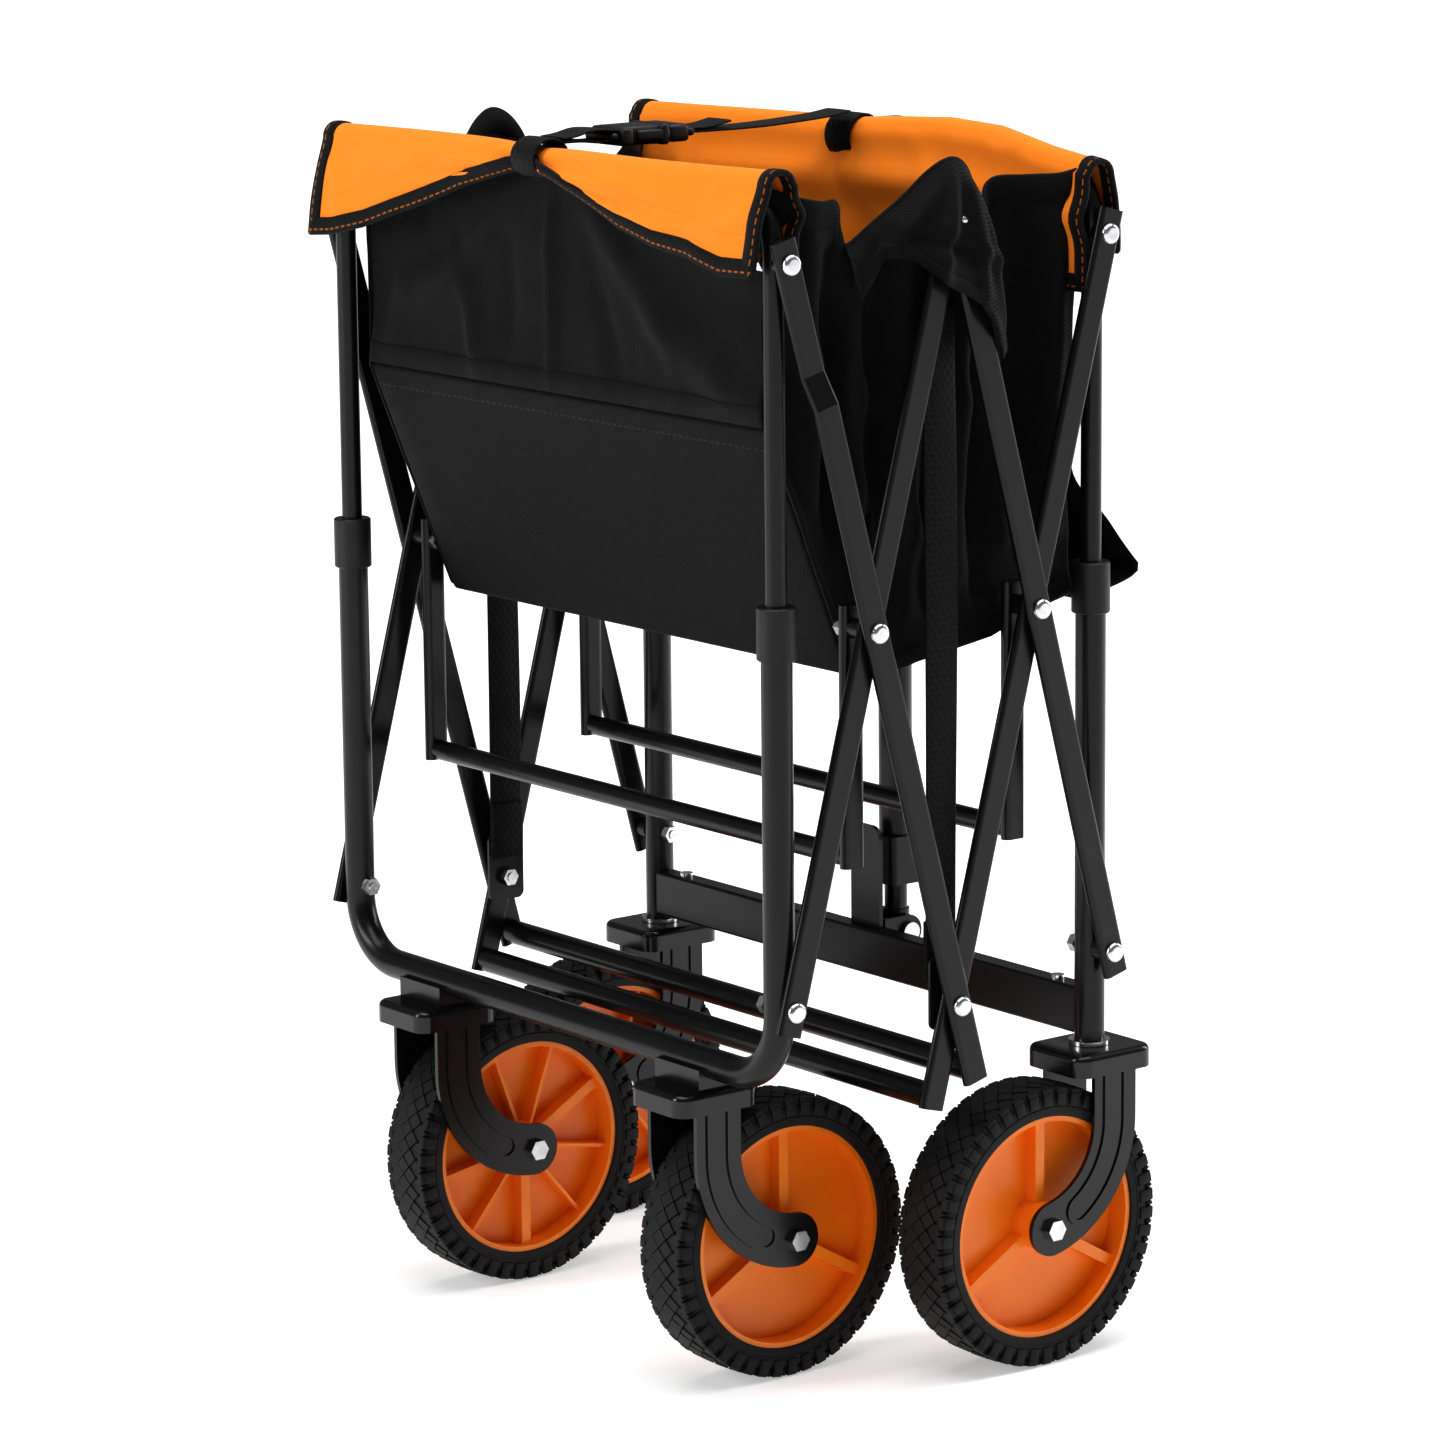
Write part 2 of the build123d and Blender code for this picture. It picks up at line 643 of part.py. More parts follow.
leg_inner_face = support_leg_y - support_leg_thick / 2
plate_inner_face = side_strap_y + 1.5 * webbing_thick
bolts_a = both(bolt(-cross_x, cross_z, leg_inner_face, bar_outer_face))
bolts_a += both(bolt(0, centre_low_z, plate_inner_face, bar_outer_face))
save("link_a_bolts", bolts_a)
save("link_d_bolts", both(bolt(cross_x, cross_z, leg_inner_face, bar_outer_face)))
save("link_c_bolts", both(bolt(0, centre_high_z, bar_inner_face, bar_outer_face)))

# upper frames
upper_nut_face = frame_half_y - upper_tube_r
for name, x in (("rear", -half_span), ("front", half_span)):
    save(name + "_upper_tube", upper_tube(x))
    save(name + "_top_bolts", both(bolt(x, pivot_high_z, upper_nut_face, bar_inner_face + bar_thick)))
    save(name + "_flap", flap(x))

# front lower frame
save("front_lower_tubes", front_lower_tubes())
save("front_sleeves", sleeves(half_span))
save("front_crossbar", crossbar())
crossbar_top = crossbar_z + crossbar_height
screw_y = frame_half_y - crossbar_screw_inset
screw = rod_z(half_span, screw_y, crossbar_top, crossbar_top + crossbar_screw_h, crossbar_screw_r)
pin_half = ear_inner_y + ear_thick + overlap
pin = rod_y(handle_x, handle_pivot_z, -pin_half, pin_half, bolt_r)
for side in (1, -1):
    y = side * (ear_inner_y + ear_thick)
    pin += rod_y(handle_x, handle_pivot_z, y, y + side * dome_h, dome_r)
front_hardware = both(bolt(half_span, pivot_low_z, lower_nut_face, bar_outer_face)) + both(screw) + [pin]
save("front_frame_bolts", front_hardware)
bearing_top = front_tube_foot_z + bearing_depth
cup = rod_z(half_span, frame_half_y, fork_top_z + bearing_gap, front_tube_foot_z, bearing_r)
cup += rod_z(half_span, frame_half_y, front_tube_foot_z - overlap, bearing_top, lower_tube_bore_r)
cup -= rod_z(half_span, frame_half_y, fork_top_z, bearing_top + past, stem_r + running)
save("front_bearings", both(cup))

# floor support frames, hung from the crossings
for name, x in (("rear", -cross_x), ("front", cross_x)):
    low = cross_z - support_drop
    oval = SlotOverall(support_leg_width, support_leg_thick)
    leg = Pos(x, support_leg_y, low - support_tube_r) * oval
    leg = extrude(leg, support_drop + support_tube_r + support_leg_top)
    boss = rod_y(x, cross_z, support_leg_y, bar_inner_face - support_boss_gap, support_boss_r)
    leg = leg + boss - rod_y(x, cross_z, support_leg_y - past, bar_inner_face, run)
    rail = rod_y(x, low, -support_leg_y, support_leg_y, support_tube_r)
    save("support_" + name, leg + rail + mirror(leg, Plane.XZ))

# side straps and their lower end plates
strap_low = centre_low_z + side_strap_foot
strap_inner = side_strap_y - webbing_thick / 2
strap_outer = side_strap_y + webbing_thick / 2
strap = block(side_strap_back, side_strap_front, strap_inner, strap_outer, strap_low, side_strap_top_z)
save("side_strap_left", strap)
save("side_strap_right", mirror(strap, Plane.XZ))
plate_outer_face = plate_inner_face + strap_plate_thick
plate_low = centre_low_z - strap_plate_below
plate_top = centre_low_z + strap_plate_above
half_x = strap_plate_half_x
plate = block(-half_x, half_x, plate_inner_face, plate_outer_face, plate_low, plate_top)
plate = fillet(plate.edges().filter_by(Axis.Y), strap_plate_corner)
plate -= rod_y(0, centre_low_z, plate_inner_face - past, plate_outer_face + past, run)
save("strap_plates", both(plate))

# bag: floor boards, hems and walls
outer_x = board_end_x - board_gap
inner_x = hinge_x + board_gap
save("board_1", board(-outer_x, -inner_x, open_hinge_rear, hinge_rear, -rear_board_tilt))
save("board_2", board(-hinge_x + board_gap, -board_gap, open_hinge_mid, hinge_mid, mid_rear_tilt))
save("board_3", board(board_gap, hinge_x - board_gap, open_hinge_front, hinge_front, -mid_front_tilt))
save("board_4", board(inner_x, outer_x, open_edge_front, front_board_edge, front_board_tilt))
hem_x = -half_span + end_wall_inset
hem_z = rear_board_edge[1] + hem_rise
hem = block(0, hem_thick, -board_half_y, board_half_y, 0, hem_height)
save("bag_rear_hem", Pos(hem_x, 0, hem_z) * hem)
front_x = front_board_edge[0] + hem_gap
front_z = front_board_edge[1] - hem_height / 2
save("bag_front_hem", Pos(front_x, 0, front_z) * hem)
save("bag_rear_wall", end_wall(-1, hem_z + hem_height + cloth_gap))
save("bag_front_wall", end_wall(1, front_z + hem_height + cloth_gap))
wall = side_wall()
save("bag_left_wall", wall)
save("bag_right_wall", mirror(wall, Plane.XZ))
tab_x = half_span - tab_inset
tab_y = wall_y + wall_thick + tab_gap
tab = block(tab_x, tab_x + tab_width, tab_y, tab_y + tab_thick, tab_low_z, tab_high_z)
save("bag_corner_tabs", both(tab))

# strap over the top with its side-release buckle
y0 = top_strap_y - webbing_width / 2
y1 = top_strap_y + webbing_width / 2
z0 = top_strap_z - webbing_thick / 2
z1 = top_strap_z + webbing_thick / 2
save("strap_rear_half", block(-strap_root_x, buckle_x, y0, y1, z0, z1))
socket_end = buckle_x + buckle_length
plug_end = socket_end + plug_head
save("strap_front_half", block(plug_end, strap_root_x, y0, y1, z0, z1))


def buckle_block(x0, x1, half_y, half_z):
    """Box about the top strap's middle line."""
    return Pos(0, top_strap_y, top_strap_z) * block(x0, x1, -half_y, half_y, -half_z, half_z)


half_w = buckle_width / 2
half_h = buckle_height / 2
pocket_y = half_w - buckle_side_wall
pocket_h = half_h - buckle_top_wall
socket = buckle_block(buckle_x, socket_end, half_w, half_h)
socket = fillet(socket.edges().filter_by(Axis.X), buckle_edge)
socket -= buckle_block(socket_end - prong_length - prong_end_gap, socket_end, pocket_y, pocket_h)
save("buckle_socket", socket)
plug = buckle_block(socket_end + plug_clearance, plug_end, half_w, half_h)
plug = fillet(plug.edges().filter_by(Axis.X), buckle_edge)
prong_y = pocket_y - plug_clearance
prong_h = pocket_h - plug_clearance
prong = buckle_block(socket_end - prong_length, socket_end + overlap, prong_width / 2, prong_h)
for side in (1, -1):
    plug += Pos(0, side * (prong_y - prong_width / 2), 0) * prong
save("buckle_plug", plug)

# casters and wheels
axle_x = half_span - caster_trail
caster = Pos(half_span, frame_half_y, fork_top_z) * fork(-caster_trail)
caster += rod_z(half_span, frame_half_y, fork_top_z - overlap, bearing_top, stem_r)
for name, side in (("left", 1), ("right", -1)):
    save("caster_fork_" + name, caster if side > 0 else mirror(caster, Plane.XZ))
    save("caster_axle_" + name, axle_bolt(axle_x, side * frame_half_y, wheel_radius))
    rear_place = Pos(rear_wheel_x, side * rear_wheel_y, wheel_radius)
    front_place = Pos(axle_x, side * frame_half_y, wheel_radius)
    for end, place in (("rear", rear_place), ("front", front_place)):
        save("rim_" + end + "_" + name, place * wheel_rim(side))
        save("tyre_" + end + "_" + name, place * tyre())

# handle
save("handle_lower", handle_lower())
save("handle_collar", handle_collar())
save("handle_outer_tube", handle_outer_tube())
save("handle_grip", handle_grip())
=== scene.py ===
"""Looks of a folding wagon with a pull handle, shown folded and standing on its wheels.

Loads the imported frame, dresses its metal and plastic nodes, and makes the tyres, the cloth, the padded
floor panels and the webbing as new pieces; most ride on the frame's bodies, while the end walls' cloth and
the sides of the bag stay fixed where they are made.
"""

import logging
import math
from dataclasses import dataclass
from enum import Enum
from typing import Callable, Iterable, Sequence

import bmesh
import bpy
import numpy as np
from mathutils import Matrix, Vector, noise


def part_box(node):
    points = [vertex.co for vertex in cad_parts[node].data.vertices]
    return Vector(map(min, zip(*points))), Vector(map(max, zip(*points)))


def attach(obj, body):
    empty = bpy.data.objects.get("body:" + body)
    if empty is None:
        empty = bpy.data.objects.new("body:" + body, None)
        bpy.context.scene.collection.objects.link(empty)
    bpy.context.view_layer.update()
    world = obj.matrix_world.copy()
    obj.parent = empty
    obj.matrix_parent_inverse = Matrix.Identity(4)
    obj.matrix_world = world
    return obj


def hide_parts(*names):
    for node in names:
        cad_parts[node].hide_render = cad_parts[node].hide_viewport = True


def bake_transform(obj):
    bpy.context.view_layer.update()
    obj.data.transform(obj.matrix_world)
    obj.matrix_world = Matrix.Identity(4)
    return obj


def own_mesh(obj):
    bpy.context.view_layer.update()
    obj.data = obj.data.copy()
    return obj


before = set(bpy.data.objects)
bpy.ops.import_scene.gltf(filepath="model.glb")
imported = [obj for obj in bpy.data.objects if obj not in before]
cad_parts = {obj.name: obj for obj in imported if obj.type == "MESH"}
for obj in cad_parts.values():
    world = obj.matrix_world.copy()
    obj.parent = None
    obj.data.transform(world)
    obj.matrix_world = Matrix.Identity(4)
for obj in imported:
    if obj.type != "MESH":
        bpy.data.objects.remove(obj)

log = logging.getLogger("wagon")
Point = tuple[float, float, float]
REAR_X = sum(c.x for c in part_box("rear_upper_tube")) / 2
FRONT_X = sum(c.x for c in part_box("front_upper_tube")) / 2
MIDDLE_X = (REAR_X + FRONT_X) / 2


def mm(x: float, y: float, z: float) -> Point:
    """Turns millimetres measured from the middle of the two end frames into a place in the frame.

    Args:
        x: Forward of the middle between the end frames.
        y: To the left of the middle plane.
        z: Above the ground.

    Returns:
        The same place in metres.
    """
    return (MIDDLE_X + x / 1000, y / 1000, z / 1000)


class Side(Enum):
    """The two sides of the wagon, by the sign of Y."""

    LEFT = 1
    RIGHT = -1

    @property
    def word(self) -> str:
        """The side's name as the nodes spell it."""
        return self.name.lower()


class End(Enum):
    """The two ends of the wagon, by the sign of X away from the middle."""

    REAR = -1
    FRONT = 1

    @property
    def word(self) -> str:
        """The end's name as the nodes spell it."""
        return self.name.lower()

    @property
    def rail_x(self) -> float:
        """Where this end's rail stands, in millimetres from the middle."""
        return (FRONT_X - REAR_X) / 2 * 1000 * self.value


# ---------------------------------------------------------------- materials


class Graph:
    """A small helper that places and links shader nodes."""

    def __init__(self, tree: bpy.types.NodeTree) -> None:
        """Keeps the tree that the nodes go into.

        Args:
            tree: A material's or a group's node tree.
        """
        self.tree = tree

    def add(self, kind: str, inputs: dict | None = None, **settings: object) -> bpy.types.Node:
        """Adds one node, sets its properties, and sets or links its inputs.

        Args:
            kind: The node's type name.
            inputs: Value or output socket for each input, by name or number.
            **settings: Properties of the node.

        Returns:
            The new node.
        """
        node = self.tree.nodes.new(kind)
        for key, value in settings.items():
            setattr(node, key, value)
        for key, value in (inputs or {}).items():
            if isinstance(value, bpy.types.NodeSocket):
                self.tree.links.new(value, node.inputs[key])
            else:
                node.inputs[key].default_value = value
        return node

    def math(self, operation: str, a: object, b: object = 0.0, c: object = 0.0) -> bpy.types.NodeSocket:
        """Adds a Math node.

        Args:
            operation: The Math node's operation.
            a: First value or socket.
            b: Second value or socket.
            c: Third value or socket.

        Returns:
            The node's output.
        """
        return self.add("ShaderNodeMath", {0: a, 1: b, 2: c}, operation=operation).outputs[0]

    def mix(self, mask: object, a: object, b: object) -> bpy.types.NodeSocket:
        """Mixes two colours by a mask.

        Args:
            mask: Share of the second colour.
            a: First colour or socket.
            b: Second colour or socket.

        Returns:
            The mixed colour.
        """
        node = self.add("ShaderNodeMix", data_type="RGBA")
        for index, value in ((0, mask), (6, a), (7, b)):
            if isinstance(value, bpy.types.NodeSocket):
                self.tree.links.new(value, node.inputs[index])
            else:
                node.inputs[index].default_value = value
        return node.outputs[2]


def make_group(name: str, inputs: dict[str, float | None], outputs: Sequence[str],
               build: Callable[[Graph, dict, bpy.types.Node], dict]) -> bpy.types.NodeTree:
    """Makes a shader node group with named inputs and outputs.

    Args:
        name: The group's name.
        inputs: Default of each input; None makes it a vector.
        outputs: Names of the outputs, all plain values.
        build: Fills the group and gives a socket for each output.

    Returns:
        The group.
    """
    tree = bpy.data.node_groups.new(name, "ShaderNodeTree")
    for key, value in inputs.items():
        kind = "NodeSocketVector" if value is None else "NodeSocketFloat"
        socket = tree.interface.new_socket(key, in_out="INPUT", socket_type=kind)
        if value is not None:
            socket.default_value = value
    for key in outputs:
        tree.interface.new_socket(key, in_out="OUTPUT", socket_type="NodeSocketFloat")
    graph = Graph(tree)
    start = graph.add("NodeGroupInput")
    end = graph.add("NodeGroupOutput")
    made = build(graph, start.outputs, end)
    for key in outputs:
        tree.links.new(made[key], end.inputs[key])
    return tree


def grain_nodes(g: Graph, given: dict, _end: bpy.types.Node) -> dict:
    """Fills the grain group: a fine surface grain and a slow, large cloud.

    Args:
        g: The group's graph.
        given: The group's inputs.
        _end: The group's output node; not used.

    Returns:
        Socket for each output.
    """
    fine = g.add("ShaderNodeTexNoise", {"Vector": given["Vector"], "Scale": given["Fine"], "Detail": 3.0})
    slow = g.add("ShaderNodeTexNoise", {"Vector": given["Vector"], "Scale": given["Slow"], "Detail": 4.0})
    cloud = g.add("ShaderNodeMapRange", {0: slow.outputs[0], 1: 0.35, 2: 0.65}).outputs[0]
    return {"Height": fine.outputs[0], "Cloud": cloud}


def weave_nodes(g: Graph, given: dict, _end: bpy.types.Node) -> dict:
    """Fills the weave group: crossing threads laid over and under each other along the piece's own map, and
    a mask of the gaps between them that the cloth uses for painted shade.

    Args:
        g: The group's graph.
        given: The group's inputs.
        _end: The group's output node; not used.

    Returns:
        Socket for each output.
    """
    split = g.add("ShaderNodeSeparateXYZ", {0: given["Vector"]})
    u = g.math("MULTIPLY", split.outputs[0], given["Across"])
    v = g.math("MULTIPLY", split.outputs[1], given["Along"])
    warp = g.math("ABSOLUTE", g.math("SINE", g.math("MULTIPLY", u, math.pi)))
    weft = g.math("ABSOLUTE", g.math("SINE", g.math("MULTIPLY", v, math.pi)))
    parity = g.math("MODULO", g.math("ADD", g.math("FLOOR", u), g.math("FLOOR", v)), 2.0)
    over = g.math("ABSOLUTE", parity)
    lifted = g.math("MULTIPLY", warp, over)
    under = g.math("MULTIPLY", weft, g.math("SUBTRACT", 1.0, over))
    height = g.math("ADD", lifted, under)
    return {"Height": height, "Gap": g.math("SUBTRACT", 1.0, g.math("MULTIPLY", warp, weft))}


def stitch_nodes(g: Graph, given: dict, _end: bpy.types.Node) -> dict:
    """Fills the stitch group: a dashed line of thread at one distance from an edge.

    Args:
        g: The group's graph.
        given: The group's inputs.
        _end: The group's output node; not used.

    Returns:
        Socket for each output.
    """
    split = g.add("ShaderNodeSeparateXYZ", {0: given["Vector"]})
    off = g.math("ABSOLUTE", g.math("SUBTRACT", split.outputs[1], given["Line"]))
    near = g.math("LESS_THAN", off, given["Width"])
    beat = g.math("FRACT", g.math("ABSOLUTE", g.math("DIVIDE", split.outputs[0], given["Pitch"])))
    return {"Mask": g.math("MULTIPLY", near, g.math("LESS_THAN", beat, 0.62))}


class Groups:
    """The shader effects that several finishes share, each made once."""

    def __init__(self) -> None:
        """Builds the groups."""
        self.grain = make_group("grain", {"Vector": None, "Fine": 900.0, "Slow": 9.0},
                                ("Height", "Cloud"), grain_nodes)
        self.weave = make_group("weave", {"Vector": None, "Across": 900.0, "Along": 900.0},
                                ("Height", "Gap"),
                                weave_nodes)
        self.stitch = make_group("stitch", {"Vector": None, "Line": 0.01, "Width": 0.0006, "Pitch": 0.006},
                                 ("Mask",), stitch_nodes)

    def place(self, g: Graph, tree: bpy.types.NodeTree, inputs: dict) -> bpy.types.Node:
        """Places a group in a material with its own values.

        Args:
            g: The material's graph.
            tree: The group.
            inputs: Value or socket for each input.

        Returns:
            The group node.
        """
        node = g.add("ShaderNodeGroup", node_tree=tree)
        for key, value in inputs.items():
            if isinstance(value, bpy.types.NodeSocket):
                g.tree.links.new(value, node.inputs[key])
            else:
                node.inputs[key].default_value = value
        return node


GROUPS = Groups()


@dataclass(frozen=True)
class HardFinish:
    """A smooth material that reads its pattern from the object's own space.

    Attributes:
        name: The material's name.
        slot: The record's material slot; not used.
        tone: Base colour.
        roughness: Middle roughness.
        metallic: Metal share.
        coat: Clear coat weight.
        specular: Specular level.
        cloud_tone: Colour where the slow cloud is strongest.
        vary: How far the roughness moves with the cloud.
        fine: Grain scale.
        slow: Cloud scale.
        bump: Grain height in metres.
        subsurface: Subsurface weight.
    """

    name: str
    slot: str
    tone: Point
    roughness: float
    metallic: float = 0.0
    coat: float = 0.0
    specular: float = 0.5
    cloud_tone: Point | None = None
    vary: float = 0.06
    fine: float = 900.0
    slow: float = 12.0
    bump: float = 0.00003
    subsurface: float = 0.0

    def make(self) -> bpy.types.Material:
        """Builds the material.

        Returns:
            The material.
        """
        material = bpy.data.materials.new(self.name)
        material.use_nodes = True
        tree = material.node_tree
        tree.nodes.clear()
        g = Graph(tree)
        place = g.add("ShaderNodeTexCoord").outputs["Object"]
        grain = GROUPS.place(g, GROUPS.grain, {"Vector": place, "Fine": self.fine, "Slow": self.slow})
        other = self.cloud_tone or tuple(c * 1.35 for c in self.tone)
        colour = g.mix(grain.outputs["Cloud"], (*self.tone, 1), (*other, 1))
        spread = g.math("MULTIPLY_ADD", grain.outputs["Cloud"], self.vary, self.roughness - self.vary / 2)
        bump = g.add("ShaderNodeBump", {"Height": grain.outputs["Height"], "Distance": self.bump,
                                        "Strength": 1.0})
        shader = g.add("ShaderNodeBsdfPrincipled", {
            "Base Color": colour, "Roughness": spread, "Metallic": self.metallic, "Coat Weight": self.coat,
            "Coat Roughness": 0.12, "Specular IOR Level": self.specular, "Normal": bump.outputs[0],
            "Subsurface Weight": self.subsurface, "Subsurface Radius": (0.004, 0.0016, 0.0006),
            "Subsurface Scale": 0.6})
        g.add("ShaderNodeOutputMaterial", {0: shader.outputs[0]})
        return material


@dataclass(frozen=True)
class ClothFinish:
    """A woven cloth or webbing that follows the piece's own map, in metres.

    Attributes:
        name: The material's name.
        slot: The record's material slot; not used.
        tone: Thread colour.
        painted_gap_shade: Painted shade colour for the gaps between the threads.
        across: Threads per metre across the map.
        along: Threads per metre along the map.
        depth: Thread height in metres.
        roughness: Roughness.
        sheen: Sheen weight.
        specular: Specular level.
        stitch: Colour of a stitched line, if there is one.
        line: Distance of the stitched line from the edge, in metres.
    """

    name: str
    slot: str
    tone: Point
    painted_gap_shade: Point
    across: float = 900.0
    along: float = 900.0
    depth: float = 0.00025
    roughness: float = 0.7
    sheen: float = 0.03
    specular: float = 0.16
    stitch: Point | None = None
    line: float = 0.01

    def make(self) -> bpy.types.Material:
        """Builds the material.

        Returns:
            The material.
        """
        material = bpy.data.materials.new(self.name)
        material.use_nodes = True
        tree = material.node_tree
        tree.nodes.clear()
        g = Graph(tree)
        coords = g.add("ShaderNodeTexCoord")
        laid = coords.outputs["UV"]
        weave = GROUPS.place(g, GROUPS.weave, {"Vector": laid, "Across": self.across, "Along": self.along})
        grain = GROUPS.place(g, GROUPS.grain, {"Vector": coords.outputs["Object"], "Fine": 260.0,
                                               "Slow": 14.0})
        # Painted shade: the gaps between the threads are darkened towards the gap colour.
        shade = g.math("MULTIPLY", weave.outputs["Gap"], 0.7)
        colour = g.mix(shade, (*self.tone, 1), (*self.painted_gap_shade, 1))
        worn = tuple(c * 0.86 for c in self.tone)
        colour = g.mix(g.math("MULTIPLY", grain.outputs["Cloud"], 0.5), colour, (*worn, 1))
        height = g.math("ADD", weave.outputs["Height"], g.math("MULTIPLY", grain.outputs["Height"], 0.5))
        if self.stitch:
            thread = GROUPS.place(g, GROUPS.stitch, {"Vector": laid, "Line": self.line})
            colour = g.mix(thread.outputs["Mask"], colour, (*self.stitch, 1))
            height = g.math("ADD", height, thread.outputs["Mask"])
        bump = g.add("ShaderNodeBump", {"Height": height, "Distance": self.depth, "Strength": 0.7})
        shader = g.add("ShaderNodeBsdfPrincipled", {
            "Base Color": colour, "Roughness": self.roughness, "Sheen Weight": self.sheen,
            "Sheen Roughness": 0.4, "Specular IOR Level": self.specular, "Normal": bump.outputs[0]})
        g.add("ShaderNodeOutputMaterial", {0: shader.outputs[0]})
        return material



class Finishes:
    """Every finish on the wagon."""

    def __init__(self) -> None:
        """Builds all the materials."""
        black = (0.0045, 0.0045, 0.0048)
        self.paint = self._hard("black_powder_paint", "painted_steel", black, 0.30, coat=0.08,
                                specular=0.28, vary=0.05,
                                fine=700.0, bump=0.00004)
        self.pressed = self._hard("black_glossy_paint", "painted_steel", (0.004, 0.004, 0.0043), 0.24,
                                  coat=0.2, specular=0.35,
                                  vary=0.05, fine=500.0, bump=0.00003)
        self.plastic = self._hard("black_moulded_plastic", "black_plastic", (0.007, 0.007, 0.0074), 0.42,
                                  specular=0.35,
                                  fine=1400.0, bump=0.00005)
        self.rim = self._hard("orange_moulded_plastic", "orange_plastic", (0.86, 0.205, 0.006), 0.36,
                              cloud_tone=(0.92, 0.245, 0.010), vary=0.05, fine=1200.0, bump=0.00003,
                              slow=18.0,
                              subsurface=0.12)
        self.rubber = self._hard("black_rubber", "rubber", (0.008, 0.008, 0.0083), 0.62, specular=0.25,
                                 cloud_tone=(0.014, 0.014, 0.014), vary=0.12, fine=1500.0, bump=0.00008,
                                 slow=22.0)
        self.zinc = self._hard("bright_zinc", "zinc", (0.72, 0.72, 0.74), 0.22, metallic=1.0,
                               cloud_tone=(0.62, 0.62, 0.65), vary=0.1, fine=1600.0, bump=0.00003,
                               slow=160.0)
        # The darker gap colours here and below are painted shade between the threads of each weave.
        dark = (0.0034, 0.0034, 0.0036)
        dark_gap_shade = (0.0010, 0.0010, 0.0011)
        bright = (0.98, 0.275, 0.018)
        bright_gap_shade = (0.72, 0.16, 0.006)
        self.orange = self._cloth("orange_cloth", "orange_cloth", bright, bright_gap_shade, sheen=0.1,
                                  depth=0.00008,
                                  across=1100.0, along=1100.0, stitch=(0.80, 0.20, 0.01), line=0.024)
        self.black = self._cloth("black_cloth", "black_cloth", dark, dark_gap_shade, across=620.0, along=760.0)
        self.binding = self._cloth("black_binding", "black_cloth", (0.0045, 0.0045, 0.0048), dark_gap_shade,
                                   across=500.0,
                                   along=900.0, stitch=(0.30, 0.085, 0.01), line=0.0035)
        self.hem = self._cloth("black_hem", "black_cloth", (0.0045, 0.0045, 0.0048), dark_gap_shade, across=500.0,
                               along=900.0)
        self.cover = self._cloth("black_panel_cover", "black_cloth", (0.0032, 0.0032, 0.0034), dark_gap_shade,
                                 across=640.0,
                                 along=800.0, depth=0.0002, stitch=(0.02, 0.02, 0.02), line=0.012)
        self.webbing = self._cloth("black_webbing", "webbing", (0.0055, 0.0055, 0.0058), dark_gap_shade, across=260.0,
                                   along=420.0, depth=0.0004, roughness=0.6)
        self.bar_tack = self._cloth("pale_thread", "webbing", (0.6, 0.58, 0.52), (0.4, 0.38, 0.34),
                                    across=1500.0,
                                    along=1500.0, depth=0.0001)

    @staticmethod
    def _hard(name: str, slot: str, tone: Point, roughness: float,
              **more: object) -> tuple[bpy.types.Material, str]:
        """Makes a hard finish and keeps its slot beside it."""
        return HardFinish(name, slot, tone, roughness, **more).make(), slot

    @staticmethod
    def _cloth(name: str, slot: str, tone: Point, gap: Point, **more: object) -> tuple[bpy.types.Material,
                                                                                       str]:
        """Makes a cloth finish and keeps its slot beside it."""
        return ClothFinish(name, slot, tone, gap, **more).make(), slot


# ---------------------------------------------------------------- shared modelling steps


def deselect() -> None:
    """Leaves edit mode and clears the selection."""
    if bpy.context.object and bpy.context.object.mode == "EDIT":
        bpy.ops.object.mode_set(mode="OBJECT")
    bpy.ops.object.select_all(action="DESELECT")


def activate(obj: bpy.types.Object) -> None:
    """Makes one object the selected and active one.

    Args:
        obj: The object.
    """
    deselect()
    obj.select_set(True)
    bpy.context.view_layer.objects.active = obj


def apply_all(obj: bpy.types.Object) -> None:
    """Applies every modifier of an object, in order.

    Args:
        obj: The object.
    """
    activate(obj)
    for modifier in list(obj.modifiers):
        bpy.ops.object.modifier_apply(modifier=modifier.name)


def dress(obj: bpy.types.Object, finish: tuple[bpy.types.Material, str]) -> bpy.types.Object:
    """Gives a new piece its material.

    Args:
        obj: The piece.
        finish: Material and slot.

    Returns:
        The piece.
    """
    obj.data.materials.clear()
    obj.data.materials.append(finish[0])
    return obj


def select_where(obj: bpy.types.Object, kind: str, test: Callable[[object], bool]) -> None:
    """Selects vertices, edges or faces of the edited object by a test, in edit mode.

    Args:
        obj: The edited object.
        kind: VERT, EDGE or FACE.
        test: True for what is selected.
    """
    bpy.ops.mesh.select_mode(type=kind)
    bpy.ops.mesh.select_all(action="DESELECT")
    shape = bmesh.from_edit_mesh(obj.data)
    for item in {"VERT": shape.verts, "EDGE": shape.edges, "FACE": shape.faces}[kind]:
        item.select = bool(test(item))
    shape.select_flush_mode()
    bmesh.update_edit_mesh(obj.data)


def outward(obj: bpy.types.Object) -> None:
    """Merges doubles and turns every face outwards.

    Args:
        obj: The piece.
    """
    activate(obj)
    bpy.ops.object.mode_set(mode="EDIT")
    bpy.ops.mesh.select_all(action="SELECT")
    bpy.ops.mesh.remove_doubles(threshold=0.00002)
    bpy.ops.mesh.normals_make_consistent(inside=False)
    bpy.ops.object.mode_set(mode="OBJECT")


